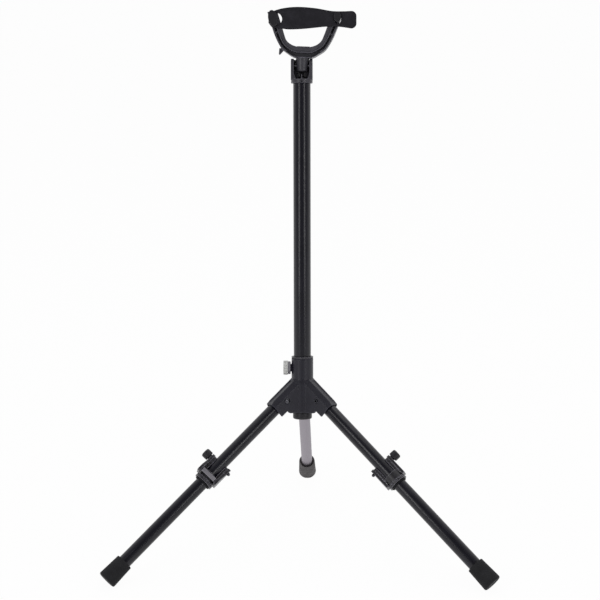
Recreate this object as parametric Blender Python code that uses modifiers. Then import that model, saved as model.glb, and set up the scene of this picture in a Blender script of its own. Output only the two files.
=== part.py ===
"""Folding guitar stand with a neck yoke: three legs that fold on a hub, a column that slides
down through the hub, a U-shaped yoke with a rubber strap, and a body support on each front leg.

Sizes are in metres and angles in radians. The stand leans back (towards +Y) on its legs, so most
pieces hang on the empty stand_axis, whose Z runs up the column and whose Y points to the rear.
"""

import math

import bmesh
import bpy
from mathutils import Vector

# Clearances, how deep joined shapes run into each other, and the rounding of moulded edges
GAP = 0.0003
SWING_GAP = 0.0004
OVERLAP = 0.001
EDGE = 0.0006

# Stance
LEAN = math.radians(12.5)
LEG_ANGLE = math.radians(50)
FRONT_LEG_TURN = math.radians(60)
REAR_TURN = math.radians(90)
FRONT_TURNS = {
    "left": 3 * REAR_TURN - FRONT_LEG_TURN,
    "right": 3 * REAR_TURN + FRONT_LEG_TURN,
}
LEG_TURNS = {**FRONT_TURNS, "rear": REAR_TURN}
PIVOT_RADIUS = 0.031
FRONT_LEG_LENGTH = 0.358
FLOOR_CUT = 0.0008
FLOOR_SPAN = 2 * FRONT_LEG_LENGTH

# Column
COLUMN_RADIUS = 0.0125
COLUMN_WALL = 0.0012
COLUMN_TOP = 0.4592
END_CAP_RADIUS = 0.0139
END_CAP_HEIGHT = 0.011
END_CAP_ROUND = 0.003
PLUG_DEPTH = 0.016

# Hub
KNOB_HEIGHT = 0.045
COLLAR_RADIUS = 0.0158
COLLAR_TOP = KNOB_HEIGHT + 0.0143
COLLAR_FOOT = 0.029
BOSS_RADIUS = 0.0185
BOSS_TOP = 0.024
HUB_BOTTOM = -0.0185
BUSH_FLANGE = 0.0024
BUSH_WALL = 0.0012
BUSH_DEPTH = 0.0095
CHEEK_WALL = 0.0032
CHEEK_RISE = 0.0125
CHEEK_DROP = 0.0115
CHEEK_REACH = 0.0212
CHEEK_LIP = 0.009
CHEEK_SHOULDER = 0.0062
CHEEK_BEVEL = 0.0008
RIDGE_TAPER = 0.007
RIDGE_DROP = 0.0015
EAR_OUTER = PIVOT_RADIUS
EAR_ROUND = 0.006
SLOT_START = PIVOT_RADIUS - 0.0118
WEB_GROOVE = 0.0012
WEB_GROOVE_WIDTH = 0.009

# Legs
LEG_RADIUS = 0.0095
LEG_WALL = 0.0012
REAR_LEG_RADIUS = 0.0085
REAR_LEG_WALL = 0.001
KNUCKLE_INSET = 0.0005
KNUCKLE_CHAMFER = 0.003
KNUCKLE_NECK = 0.0102
KNUCKLE_NECK_INSET = 0.0003
KNUCKLE_PLUG = 0.02
REAR_SOCKET = 0.016
PIN_RADIUS = 0.0025
PIN_HEAD_RADIUS = 0.0042
PIN_HEAD = 0.0016
PIN_SINK = 0.001
PIN_EYE_RADIUS = 0.0016
PIN_EYE_DEPTH = 0.003
CAP_RADIUS = 0.0138
CAP_MOUTH_RADIUS = 0.0124
CAP_LENGTH = 0.035
CAP_FLOOR = 0.005
CAP_ROUND = 0.003
CAP_LIP = 0.0008
CAP_RECESS = 0.004
CAP_RECESS_LIP = 0.0015

# Height knob on the collar
KNOB_BOSS_RADIUS = 0.0055
KNOB_BOSS_LENGTH = 0.0012
KNOB_SKIRT_RADIUS = 0.0093
KNOB_SKIRT_LENGTH = 0.0033
KNOB_GRIP_RADIUS = 0.0103
KNOB_GRIP_LENGTH = 0.0066
KNOB_GRIP_FACE = 0.0025
KNOB_EDGE = 0.0008
KNOB_FLUTES = 12
FLUTE_RADIUS = 0.0012
SCREW_RADIUS = 0.0025
NUT_RADIUS = 0.004

# Clevis on top of the column
CLEVIS_HALF_WIDTH = 0.0155
CLEVIS_HALF_GAP = 0.0113
CLEVIS_HALF_DEPTH = 0.0095
CLEVIS_BOTTOM = COLUMN_TOP - 0.0027
CLEVIS_FLOOR = COLUMN_TOP + 0.0028
CLEVIS_PLUG = 0.019
CLEVIS_WALL_RADIUS = 0.0125
CLEVIS_WALL_INSET = 0.0004
CLEVIS_WALL_RISE = 0.0085
YOKE_PIVOT_HEIGHT = CLEVIS_FLOOR + 0.02
YOKE_PIN_RADIUS = 0.0025
RIB_HALF_WIDTH = 0.0006
RIB_HALF_DEPTH = 0.007
RIB_TOP = CLEVIS_FLOOR + 0.0065
FIX_SCREW_RADIUS = 0.0015
FIX_SCREW_HEAD = 0.0008

# Yoke, whose U is a little askew on its stem. Its two edges are half outlines from the middle of
# the U's foot to the tip of a prong, across and up from the pivot.
YOKE_CANT = math.radians(2.5)
YOKE_OFFSET = 0.0016
YOKE_HALF_DEPTH = 0.0105
YOKE_OUTER_EDGE = (
    (0, 0.0104), (0.0127, 0.0106), (0.0226, 0.0158), (0.0323, 0.0235),
    (0.0407, 0.038), (0.047, 0.054), (0.0535, 0.0725),
)
YOKE_INNER_EDGE = (
    (0, 0.0252), (0.0095, 0.0254), (0.0185, 0.0285), (0.025, 0.0342),
    (0.0288, 0.043), (0.0327, 0.0545), (0.0398, 0.0745),
)
EDGE_STEPS = 3
OUTER_FLANGE = 0.2
INNER_FLANGE = (0.45, 0.62)
LINER_SHARE = (0.65, 1.0)
WEB_HALF_DEPTH = 0.0015
LINER_HALF_DEPTH = 0.0112
RIB_AT = 0.72
STEM_SHIFT = -0.0009
STEM_TOP_RADIUS = 0.0096
STEM_FOOT_RADIUS = 0.0076
STEM_FOOT = -0.009
STEM_ROUND = 0.002
STEM_SHOULDER = 0.004
LUG_OUTLINE = ((-0.0265, 0.0225), (-0.035, 0.0235), (-0.0354, 0.0146), (-0.0338, 0.0138))
LUG_DEPTH = (0.002, 0.006)
SADDLE_HALF_WIDTH = 0.0092
SADDLE_HALF_DEPTH = 0.0085
SADDLE_THICK = 0.003
SADDLE_PROUD = 0.0009

# Strap pegs and strap
LEFT_PEG = (-0.0449, 0.0631)
RIGHT_PEG = (0.0467, 0.0686)
PEG_RADIUS = 0.0036
STRAP_THICK = 0.0025
STRAP_STANDOFF = 0.0011
PEG_HEAD_THICK = 0.0026
LEFT_HEAD_SIZE = (0.0066, 0.0118)
RIGHT_HEAD_SIZE = (0.0052, 0.0072)
HEAD_LEAN = math.radians(14)
LEFT_HOLE_RADIUS = 0.0088
LEFT_HOLE_SHIFT = (0.0042, -0.0008)
RIGHT_HOLE_SIZE = (0.0051, 0.007)
RIGHT_HOLE_SHIFT = (0.0003, -0.0026)
STRAP_TOP = (
    (-0.0063, 0.0045), (0.0001, 0.0102), (0.0151, 0.0145), (0.0351, 0.0161),
    (0.06, 0.0142), (0.083, 0.0101), (0.0999, 0.0095), (0.1116, 0.0099),
)
STRAP_BOTTOM = (
    (0.1118, -0.0147), (0.0929, -0.0121), (0.075, -0.012), (0.045, -0.0147),
    (0.0231, -0.0155), (0.0121, -0.0141), (-0.0005, -0.0125), (-0.0063, -0.0062),
)
STRAP_END_ROUND = 0.0072

# Body supports on the front legs, measured from the bolt that crosses the leg
CLAMP_PLACE = 0.135
CLAMP_TURN = math.radians(60)
CLAMP_COLLAR_TOP = -0.017
CLAMP_COLLAR_HEIGHT = 0.0112
CLAMP_INSET = 0.0002
EAR_THICK = 0.0028
EAR_HALF_DEPTH = 0.0052
EAR_TOP = 0.0056
RING_WALL = 0.0048
RING_HEIGHT = 0.0048
RING_NOTCHES = 12
NOTCH_SIZE = (0.004, 0.0032, 0.0026)
BAND_WALL = 0.0026
BAND_HEIGHT = 0.0016
ARM_THICK = 0.0042
ARM_HALF_DEPTH = 0.0054
ARM_HEAD = 0.0066
ARM_FOOT = -0.0276
CROSSBAR_BACK = 0.0142
CROSSBAR_FRONT = 0.0164
CROSSBAR_TOP = -0.0195
CROSSBAR_FOOT = -0.0251
ARM_PAD_THICK = 0.0015
ARM_PAD_INSET = 0.0015
ARM_NOSE = 0.0012
BOLT_RADIUS = 0.0025
SIDE_KNOB_RADIUS = 0.0069
SIDE_KNOB_LENGTH = 0.01
SIDE_KNOB_EDGE = 0.0012
SIDE_KNOB_NECK = 0.0012
SIDE_KNOB_NECK_RADIUS = 0.0042
SIDE_KNOB_LOBES = 8
LOBE_RADIUS = 0.0008
PIVOT_STUD_RADIUS = 0.002
PIVOT_BALL_STAND = 0.0014
PIVOT_BALL_RADIUS = 0.0024

COLOURS = {
    "black_paint": ((0.012, 0.011, 0.014), 0.38, 0.0),
    "hub_plastic": ((0.028, 0.027, 0.031), 0.5, 0.0),
    "clamp_plastic": ((0.03, 0.03, 0.032), 0.45, 0.0),
    "knob_plastic": ((0.014, 0.014, 0.014), 0.45, 0.0),
    "grip_grey": ((0.42, 0.42, 0.41), 0.45, 0.0),
    "skirt_grey": ((0.14, 0.14, 0.155), 0.5, 0.0),
    "silver_tube": ((0.5, 0.48, 0.5), 0.35, 0.9),
    "black_steel": ((0.028, 0.028, 0.031), 0.35, 0.6),
    "brass": ((0.65, 0.48, 0.2), 0.35, 1.0),
    "cap_rubber": ((0.018, 0.018, 0.018), 0.8, 0.0),
    "grey_rubber": ((0.11, 0.11, 0.115), 0.7, 0.0),
    "yoke_plastic": ((0.05, 0.05, 0.055), 0.5, 0.0),
    "liner_rubber": ((0.045, 0.044, 0.05), 0.75, 0.0),
    "strap_rubber": ((0.014, 0.013, 0.017), 0.6, 0.0),
}
UP = Vector((0, 0, 1))


def clear_scene():
    for obj in list(bpy.data.objects):
        bpy.data.objects.remove(obj)


def make_collection(name):
    collection = bpy.data.collections.new(name)
    bpy.context.scene.collection.children.link(collection)
    return collection


def make_material(name):
    colour, roughness, metallic = COLOURS[name]
    material = bpy.data.materials.new(name)
    material.use_nodes = True
    shader = material.node_tree.nodes["Principled BSDF"]
    shader.inputs["Base Color"].default_value = (*colour, 1)
    shader.inputs["Roughness"].default_value = roughness
    shader.inputs["Metallic"].default_value = metallic
    material.diffuse_color = (*colour, 1)
    return material


def make_empty(name, parent=None, location=(0, 0, 0), rotation=(0, 0, 0)):
    empty = bpy.data.objects.new(name, None)
    empty.empty_display_size = 0.02
    PARTS.objects.link(empty)
    empty.parent = parent
    empty.location = location
    empty.rotation_euler = rotation
    return empty


def place(obj, parent, location=(0, 0, 0), rotation=(0, 0, 0), material=None):
    """Hang the object on its parent, as a part where it has a material and else as a helper."""
    if material:
        PARTS.objects.link(obj)
        obj.data.materials.append(MATERIALS[material])
    else:
        HELPERS.objects.link(obj)
        obj.hide_render = True
        obj.display_type = "WIRE"
    obj.parent = parent
    obj.location = location
    obj.rotation_euler = rotation
    return obj


def smooth(obj, angle=40):
    obj.data.shade_smooth()
    obj.data.set_sharp_from_angle(angle=math.radians(angle))
    return obj


def mesh_object(name, bm):
    mesh = bpy.data.meshes.new(name)
    bm.to_mesh(mesh)
    bm.free()
    return bpy.data.objects.new(name, mesh)


def cylinder(name, radius, bottom, top, segments=24, axis="Z"):
    """Solid cylinder along one axis, from bottom to top on it."""
    bm = bmesh.new()
    bmesh.ops.create_cone(
        bm, cap_ends=True, radius1=radius, radius2=radius, depth=top - bottom, segments=segments
    )
    bmesh.ops.translate(bm, verts=bm.verts, vec=(0, 0, (top + bottom) / 2))
    turn_to_axis(bm, axis)
    return smooth(mesh_object(name, bm))


def turn_to_axis(bm, axis):
    """Turn a shape made along Z so that it runs along X or Y."""
    if axis == "Z":
        return
    target = Vector((1, 0, 0)) if axis == "X" else Vector((0, 1, 0))
    turn = UP.rotation_difference(target).to_matrix()
    bmesh.ops.rotate(bm, verts=bm.verts, cent=(0, 0, 0), matrix=turn)


def box(name, low, high):
    bm = bmesh.new()
    bmesh.ops.create_cube(bm, size=1)
    size = [b - a for a, b in zip(low, high)]
    middle = [(a + b) / 2 for a, b in zip(low, high)]
    bmesh.ops.scale(bm, verts=bm.verts, vec=size)
    bmesh.ops.translate(bm, verts=bm.verts, vec=middle)
    return mesh_object(name, bm)


def turned(name, profile, ring=False, segments=28):
    """Solid turned about Z. The profile holds (radius, height) pairs and runs down its outer side.
    A ring's profile closes on itself, and any other starts and ends on the axis."""
    bm = bmesh.new()
    points = [bm.verts.new((radius, 0, height)) for radius, height in profile]
    pairs = list(zip(points, points[1:]))
    if ring:
        pairs.append((points[-1], points[0]))
    for pair in pairs:
        bm.edges.new(pair)
    obj = mesh_object(name, bm)
    screw = obj.modifiers.new("Turn", "SCREW")
    screw.steps = segments
    screw.render_steps = segments
    screw.use_merge_vertices = True
    screw.merge_threshold = 0.00001
    return as_mesh(obj)


def tube_profile(outer, inner, bottom, top):
    return [(outer, top), (outer, bottom), (inner, bottom), (inner, top)]


def as_mesh(obj):
    """The object's evaluated shape as a plain mesh, welded and smooth."""
    HELPERS.objects.link(obj)
    bpy.context.view_layer.update()
    graph = bpy.context.evaluated_depsgraph_get()
    mesh = bpy.data.meshes.new_from_object(obj.evaluated_get(graph))
    name = obj.name
    data = obj.data
    bpy.data.objects.remove(obj)
    if isinstance(data, bpy.types.Curve):
        bpy.data.curves.remove(data)
    bm = bmesh.new()
    bm.from_mesh(mesh)
    bmesh.ops.remove_doubles(bm, verts=bm.verts, dist=0.000005)
    bmesh.ops.recalc_face_normals(bm, faces=bm.faces)
    bm.to_mesh(mesh)
    bm.free()
    mesh.materials.clear()
    return smooth(bpy.data.objects.new(name, mesh))


def plate(name, outlines, low, high, plane="XZ"):
    """Flat plate with the given closed outlines, the first its edge and the others its holes.
    It fills from low to high along the axis that its plane leaves out."""
    curve = bpy.data.curves.new(name, "CURVE")
    curve.dimensions = "2D"
    curve.fill_mode = "BOTH"
    curve.extrude = (high - low) / 2
    for outline in outlines:
        spline = curve.splines.new("POLY")
        spline.points.add(len(outline) - 1)
        for point, (across, up) in zip(spline.points, outline):
            point.co = (across, up, 0, 1)
        spline.use_cyclic_u = True
    obj = as_mesh(bpy.data.objects.new(name, curve))
    middle = (low + high) / 2
    for vertex in obj.data.vertices:
        across, up, out = vertex.co
        vertex.co = (across, middle - out, up) if plane == "XZ" else (middle + out, across, up)
    return obj


def combine(target, other, operation):
    modifier = target.modifiers.new(operation.title(), "BOOLEAN")
    modifier.operation = operation
    modifier.object = other
    modifier.solver = "EXACT"


def add(target, *others):
    for other in others:
        combine(target, other, "UNION")


def cut(target, *others):
    for other in others:
        combine(target, other, "DIFFERENCE")


def bevel(obj, width, segments=2, angle=30):
    modifier = obj.modifiers.new("Bevel", "BEVEL")
    modifier.width = width
    modifier.segments = segments
    modifier.limit_method = "ANGLE"
    modifier.angle_limit = math.radians(angle)


def arc(centre, radius, start, end, steps):
    """Points on a circle from the start angle to the end angle, both in degrees."""
    points = []
    for step in range(steps + 1):
        angle = math.radians(start + (end - start) * step / steps)
        points.append((centre[0] + radius * math.cos(angle), centre[1] + radius * math.sin(angle)))
    return points


def circle(centre, radius, steps):
    return arc(centre, radius, 0, 360 * (steps - 1) / steps, steps - 1)


def smooth_path(points, steps):
    """Catmull-Rom curve through the points, with steps points on each stretch."""
    knots = [Vector(point) for point in points]
    ends = [2 * knots[0] - knots[1]] + knots + [2 * knots[-1] - knots[-2]]
    path = []
    for a, b, c, d in zip(ends, ends[1:], ends[2:], ends[3:]):
        for step in range(steps):
            t = step / steps
            path.append(
                0.5 * (2 * b + (c - a) * t + (2 * a - 5 * b + 4 * c - d) * t**2
                       + (3 * b - a - 3 * c + d) * t**3)
            )
    path.append(knots[-1])
    return path


def leg_frame_directions(turn):
    """Outward direction of a leg in the stand_axis frame, and its own direction to the foot."""
    outward = Vector((math.cos(turn), math.sin(turn), 0))
    along = math.sin(LEG_ANGLE) * outward - math.cos(LEG_ANGLE) * UP
    return outward, along


def to_world(direction):
    """A direction of the leaning stand_axis frame, in the world."""
    y = direction.y * math.cos(LEAN) + direction.z * math.sin(LEAN)
    z = direction.z * math.cos(LEAN) - direction.y * math.sin(LEAN)
    return Vector((direction.x, y, z))


def foot_height(along):
    """Height of a leg's end face centre, so that its cap is cut by the floor."""
    slope = math.sqrt(1 - along.z**2)
    return (CAP_RADIUS - CAP_ROUND) * slope + CAP_ROUND * (1 - abs(along.z)) - FLOOR_CUT


def hub_height():
    """Height of the hub's pivot plane on the column axis, set by the front legs."""
    outward, along = (to_world(d) for d in leg_frame_directions(FRONT_TURNS["left"]))
    return foot_height(along) - along.z * FRONT_LEG_LENGTH - outward.z * PIVOT_RADIUS


def rear_leg_length():
    """Length that brings the rear foot to the floor the front feet stand on."""
    outward, along = (to_world(d) for d in leg_frame_directions(REAR_TURN))
    return (hub_height() + outward.z * PIVOT_RADIUS - foot_height(along)) / -along.z


def slot_half_width():
    return knuckle_radius() + 2 * SWING_GAP


def knuckle_radius():
    return LEG_RADIUS - KNUCKLE_INSET


def leg_pivot_place(turn):
    return PIVOT_RADIUS * Vector((math.cos(turn), math.sin(turn), 0))


def leg_side_view():
    """Side view of a leg, as distance from the column axis and height: its pivot, the direction
    to its foot and the direction off its top."""
    pivot = Vector((PIVOT_RADIUS, 0))
    along = Vector((math.sin(LEG_ANGLE), -math.cos(LEG_ANGLE)))
    across = Vector((math.cos(LEG_ANGLE), math.sin(LEG_ANGLE)))
    return pivot, along, across


def cheek_outline():
    """Side view of one leg housing, whose ridge sinks a little towards its end."""
    pivot, along, across = leg_side_view()
    ridge = pivot + CHEEK_RISE * across
    inner = COLUMN_RADIUS / 2
    ridge_start = ridge - along * (ridge.x - inner) / along.x
    taper = ridge + (CHEEK_REACH - RIDGE_TAPER) * along
    end_top = ridge + CHEEK_REACH * along - RIDGE_DROP * across
    end_foot = pivot + CHEEK_REACH * along - CHEEK_DROP * across
    lip = end_foot - CHEEK_LIP * along
    ear = arc((EAR_OUTER - EAR_ROUND, HUB_BOTTOM + EAR_ROUND), EAR_ROUND, -20, -90, 3)
    return [ridge_start, taper, end_top, end_foot, lip] + ear + [(inner, HUB_BOTTOM)]


def slot_outline():
    """Room for a leg inside its housing: under the web, and open below and outwards."""
    pivot, along, across = leg_side_view()
    ceiling = pivot + (LEG_RADIUS + GAP) * across
    start = ceiling - along * (ceiling.x - SLOT_START) / along.x
    end = ceiling + 2 * CHEEK_REACH * along
    return [start, end, (end.x, 4 * HUB_BOTTOM), (SLOT_START, 4 * HUB_BOTTOM)]


def groove_outline():
    """Shallow groove along the top of the web, between the two cheeks."""
    pivot, along, across = leg_side_view()
    floor = pivot + (CHEEK_RISE - WEB_GROOVE) * across
    start = floor - along * (floor.x - COLLAR_RADIUS - WEB_GROOVE) / along.x
    end = floor + (CHEEK_REACH + WEB_GROOVE) * along
    above = 2 * CHEEK_RISE * across
    return [start + above, end + above, end, start]


def shoulder_cutter(name, axis, turn, half_width, rise, chamfer):
    """Two wedges along a leg that slope the upper corners of its housing or of its slot."""
    wide = half_width + OVERLAP
    high = rise + OVERLAP
    depth = chamfer + 2 * OVERLAP
    wedge = [(wide - depth, high), (wide, high - depth), (wide, high)]
    other = [(-across, up) for across, up in wedge]
    reach = 3 * CHEEK_REACH
    cutter = plate(name, [wedge, other], -reach, reach)
    heading = (LEG_ANGLE - math.pi / 2, 0, turn - REAR_TURN)
    return place(cutter, axis, leg_pivot_place(turn), heading)


def build_hub(axis):
    bore = COLUMN_RADIUS + GAP
    seat = bore + BUSH_WALL + GAP
    seat_foot = COLLAR_TOP - BUSH_DEPTH - GAP
    profile = [
        (0, COLLAR_TOP), (COLLAR_RADIUS, COLLAR_TOP), (COLLAR_RADIUS, COLLAR_FOOT),
        (BOSS_RADIUS, BOSS_TOP), (BOSS_RADIUS, HUB_BOTTOM), (0, HUB_BOTTOM),
    ]
    hub = place(turned("hub_body", profile, segments=36), axis, material="hub_plastic")
    above = 2 * COLLAR_TOP
    below = 2 * HUB_BOTTOM
    bore_profile = [
        (0, above), (seat, above), (seat, seat_foot), (bore, seat_foot), (bore, below), (0, below),
    ]
    bore_cutter = place(turned("hub_bore_cutter", bore_profile, segments=36), axis)
    for name, turn in LEG_TURNS.items():
        add(hub, leg_housing(axis, name, turn))
    for name, turn in LEG_TURNS.items():
        cut(hub, *leg_room(axis, name, turn))
    wall = COLLAR_RADIUS + KNOB_BOSS_LENGTH
    boss = cylinder("knob_boss", KNOB_BOSS_RADIUS, -wall, -bore, 24, "X")
    add(hub, place(boss, axis, (0, 0, KNOB_HEIGHT)))
    cut(hub, bore_cutter)
    nut_seat = cylinder("nut_seat_cutter", NUT_RADIUS + GAP, -2 * wall, -bore + GAP, 24, "X")
    cut(hub, place(nut_seat, axis, (0, 0, KNOB_HEIGHT)))


def leg_housing(axis, name, turn):
    half_width = slot_half_width() + CHEEK_WALL
    housing = plate(f"{name}_housing", [cheek_outline()], -half_width, half_width, "YZ")
    bevel(housing, CHEEK_BEVEL, 1)
    cut(housing, shoulder_cutter(
        f"{name}_shoulder_cutter", axis, turn, half_width, CHEEK_RISE, CHEEK_SHOULDER
    ))
    return place(housing, axis, rotation=(0, 0, turn - REAR_TURN))


def leg_room(axis, name, turn):
    """Cutters for one leg: its slot, the groove over it, its bolt's hole and the head's sink."""
    heading = (0, 0, turn - REAR_TURN)
    pivot = leg_pivot_place(turn)
    half = slot_half_width()
    slot = plate(f"{name}_slot_cutter", [slot_outline()], -half, half, "YZ")
    cut(slot, shoulder_cutter(
        f"{name}_slot_corner", axis, turn, half, LEG_RADIUS + GAP, KNUCKLE_CHAMFER + SWING_GAP
    ))
    wide = WEB_GROOVE_WIDTH / 2
    groove = plate(f"{name}_groove_cutter", [groove_outline()], -wide, wide, "YZ")
    ends = half + 2 * CHEEK_WALL
    hole = cylinder(f"{name}_pin_hole_cutter", PIN_RADIUS + GAP, -ends, ends, 20, "X")
    head = PIN_HEAD_RADIUS + GAP
    sink = cylinder(f"{name}_sink_cutter", head, -ends, PIN_SINK - half - CHEEK_WALL, 24, "X")
    return [
        place(slot, axis, rotation=heading), place(groove, axis, rotation=heading),
        place(hole, axis, pivot, heading), place(sink, axis, pivot, heading),
    ]


def build_bush(axis):
    bore = COLUMN_RADIUS + GAP
    foot = COLLAR_TOP - BUSH_DEPTH
    flange = COLLAR_TOP + GAP
    top = flange + BUSH_FLANGE
    profile = [
        (bore, top), (COLLAR_RADIUS - EDGE, top), (COLLAR_RADIUS, top - EDGE), (COLLAR_RADIUS, flange),
        (bore + BUSH_WALL, flange), (bore + BUSH_WALL, foot), (bore, foot),
    ]
    bush = turned("column_bush", profile, ring=True, segments=36)
    place(bush, axis, material="clamp_plastic")


def build_height_knob(axis):
    pivot = make_empty("height_knob_pivot", axis, (0, 0, KNOB_HEIGHT))
    bore = COLUMN_RADIUS + GAP
    wall = COLLAR_RADIUS + KNOB_BOSS_LENGTH
    nut = turned(
        "insert_nut", tube_profile(NUT_RADIUS, SCREW_RADIUS + GAP, bore + GAP, wall), True, 24
    )
    place(nut, pivot, rotation=(0, -math.pi / 2, 0), material="brass")
    skirt_foot = wall + GAP
    skirt_top = skirt_foot + KNOB_SKIRT_LENGTH
    grip_foot = skirt_top + GAP
    grip_top = grip_foot + KNOB_GRIP_LENGTH
    shank_end = grip_top - KNOB_GRIP_FACE
    screw = cylinder("height_screw", SCREW_RADIUS, bore, shank_end, 20)
    place(screw, pivot, rotation=(0, -math.pi / 2, 0), material="black_steel")
    hole = SCREW_RADIUS + GAP
    edge = KNOB_EDGE
    skirt_profile = [
        (hole, skirt_top), (KNOB_SKIRT_RADIUS, skirt_top), (KNOB_SKIRT_RADIUS, skirt_foot + edge),
        (KNOB_SKIRT_RADIUS - edge, skirt_foot), (hole, skirt_foot),
    ]
    skirt = turned("height_knob_skirt", skirt_profile, True)
    place(skirt, pivot, rotation=(0, -math.pi / 2, 0), material="skirt_grey")
    grip_profile = [
        (0, grip_top), (KNOB_GRIP_RADIUS - edge, grip_top), (KNOB_GRIP_RADIUS, grip_top - edge),
        (KNOB_GRIP_RADIUS, grip_foot + edge), (KNOB_GRIP_RADIUS - edge, grip_foot), (hole, grip_foot),
        (hole, shank_end + GAP), (0, shank_end + GAP),
    ]
    grip = turned("height_knob_grip", grip_profile)
    place(grip, pivot, rotation=(0, -math.pi / 2, 0), material="grip_grey")
    for index in range(KNOB_FLUTES):
        angle = 2 * math.pi * index / KNOB_FLUTES
        across = KNOB_GRIP_RADIUS * math.cos(angle)
        up = KNOB_GRIP_RADIUS * math.sin(angle)
        flute = cylinder(f"grip_flute_{index}_cutter", FLUTE_RADIUS, -2 * grip_top, -skirt_top, 8, "X")
        cut(grip, place(flute, pivot, (0, across, up)))


def build_column(axis):
    slider = make_empty("column_slide", axis)
    inner = COLUMN_RADIUS - COLUMN_WALL
    tube = turned(
        "column_tube", tube_profile(COLUMN_RADIUS, inner, HUB_BOTTOM, COLUMN_TOP), True, 36
    )
    place(tube, slider, material="black_paint")
    shoulder = HUB_BOTTOM - GAP
    foot = shoulder - END_CAP_HEIGHT
    plug = inner - GAP
    rounding = arc((END_CAP_RADIUS - END_CAP_ROUND, foot + END_CAP_ROUND), END_CAP_ROUND, 0, -90, 4)
    profile = [
        (0, HUB_BOTTOM + PLUG_DEPTH), (plug, HUB_BOTTOM + PLUG_DEPTH), (plug, shoulder),
        (END_CAP_RADIUS, shoulder), *rounding, (0, foot),
    ]
    place(turned("column_end_cap", profile), slider, material="knob_plastic")
    return slider


def build_clevis(slider):
    """Bracket on the column's top: a plug and skirt on the tube, and two cheeks for the yoke pin."""
    skirt_bore = COLUMN_RADIUS + GAP
    plug = COLUMN_RADIUS - COLUMN_WALL - GAP
    tube_end = COLUMN_TOP + GAP
    crown = CLEVIS_FLOOR + OVERLAP
    profile = [
        (0, crown), (CLEVIS_HALF_WIDTH, crown), (CLEVIS_HALF_WIDTH, CLEVIS_BOTTOM),
        (skirt_bore, CLEVIS_BOTTOM), (skirt_bore, tube_end), (plug, tube_end),
        (plug, tube_end - CLEVIS_PLUG), (0, tube_end - CLEVIS_PLUG),
    ]
    clevis = place(turned("yoke_bracket", profile), slider, material="yoke_plastic")
    depth = CLEVIS_HALF_DEPTH
    cheek_foot = (tube_end + CLEVIS_FLOOR) / 2
    round_top = arc((0, YOKE_PIVOT_HEIGHT), depth, 0, 180, 14)
    cheek_side = [(depth, cheek_foot), *round_top, (-depth, cheek_foot)]
    cheeks = plate("clevis_cheeks", [cheek_side], -CLEVIS_HALF_WIDTH, CLEVIS_HALF_WIDTH, "YZ")
    bevel(cheeks, EDGE, 1)
    add(clevis, place(cheeks, slider))
    gap = CLEVIS_HALF_GAP
    top = YOKE_PIVOT_HEIGHT + 2 * depth
    chamfer = gap / 4
    hollow = [
        (gap, top), (-gap, top), (-gap, CLEVIS_FLOOR + 3 * chamfer), (chamfer - gap, CLEVIS_FLOOR),
        (gap - chamfer, CLEVIS_FLOOR), (gap, CLEVIS_FLOOR + 3 * chamfer),
    ]
    deep = 2 * CLEVIS_HALF_WIDTH
    cut(clevis, place(plate("clevis_hollow_cutter", [hollow], -deep, deep), slider))
    rib_low = (-RIB_HALF_WIDTH, -RIB_HALF_DEPTH, CLEVIS_FLOOR - OVERLAP)
    rib = box("clevis_rib", rib_low, (RIB_HALF_WIDTH, RIB_HALF_DEPTH, RIB_TOP))
    add(clevis, place(rib, slider), clevis_wall(slider))
    pin_hole = cylinder("clevis_pin_cutter", YOKE_PIN_RADIUS + GAP, -deep, deep, 20, "X")
    cut(clevis, place(pin_hole, slider, (0, 0, YOKE_PIVOT_HEIGHT)))
    screw_height = (CLEVIS_BOTTOM + COLUMN_TOP) / 2
    screw_end = -COLUMN_RADIUS - GAP
    face = -CLEVIS_HALF_WIDTH
    hole = cylinder("fix_screw_cutter", FIX_SCREW_RADIUS / 2 + GAP, -deep, screw_end + GAP, 12, "Y")
    cut(clevis, place(hole, slider, (0, 0, screw_height)))
    head = FIX_SCREW_RADIUS
    screw_profile = [
        (0, -face + FIX_SCREW_HEAD + GAP), (head, -face + FIX_SCREW_HEAD), (head, -face + GAP),
        (head / 2, -face + GAP), (head / 2, -screw_end), (0, -screw_end),
    ]
    screw = turned("bracket_screw", screw_profile, segments=16)
    place(screw, slider, (0, 0, screw_height), (math.pi / 2, 0, 0), "black_steel")


def clevis_wall(slider):
    """Round wall behind the yoke's stem, from cheek to cheek."""
    outer = CLEVIS_HALF_WIDTH - CLEVIS_WALL_INSET
    top = YOKE_PIVOT_HEIGHT + CLEVIS_WALL_RISE
    profile = tube_profile(outer, CLEVIS_WALL_RADIUS, CLEVIS_FLOOR - OVERLAP, top)
    wall = turned("clevis_wall", profile, True)
    front = box("wall_front_cutter", (-2 * outer, -2 * outer, 0), (2 * outer, 0, 2 * top))
    cut(wall, place(front, slider))
    return place(wall, slider)


def yoke_band(name, section):
    """Bar that follows the U from tip to tip. Its section is a closed outline of (share, depth)
    pairs, where share 0 is the U's outer edge and share 1 its inner edge."""
    outer = smooth_path(YOKE_OUTER_EDGE, EDGE_STEPS)
    inner = smooth_path(YOKE_INNER_EDGE, EDGE_STEPS)
    stations = [(a, b, -1) for a, b in zip(outer, inner)][:0:-1]
    stations += [(a, b, 1) for a, b in zip(outer, inner)]
    bm = bmesh.new()
    rings = []
    for a, b, side in stations:
        points = [(a + (b - a) * share, depth) for share, depth in section]
        rings.append([bm.verts.new((side * point.x, depth, point.y)) for point, depth in points])
    for first, second in zip(rings, rings[1:]):
        for index in range(len(section)):
            bm.faces.new((first[index - 1], first[index], second[index], second[index - 1]))
    bm.faces.new(rings[0])
    bm.faces.new(rings[-1][::-1])
    bmesh.ops.recalc_face_normals(bm, faces=bm.faces)
    return smooth(mesh_object(name, bm))


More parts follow.
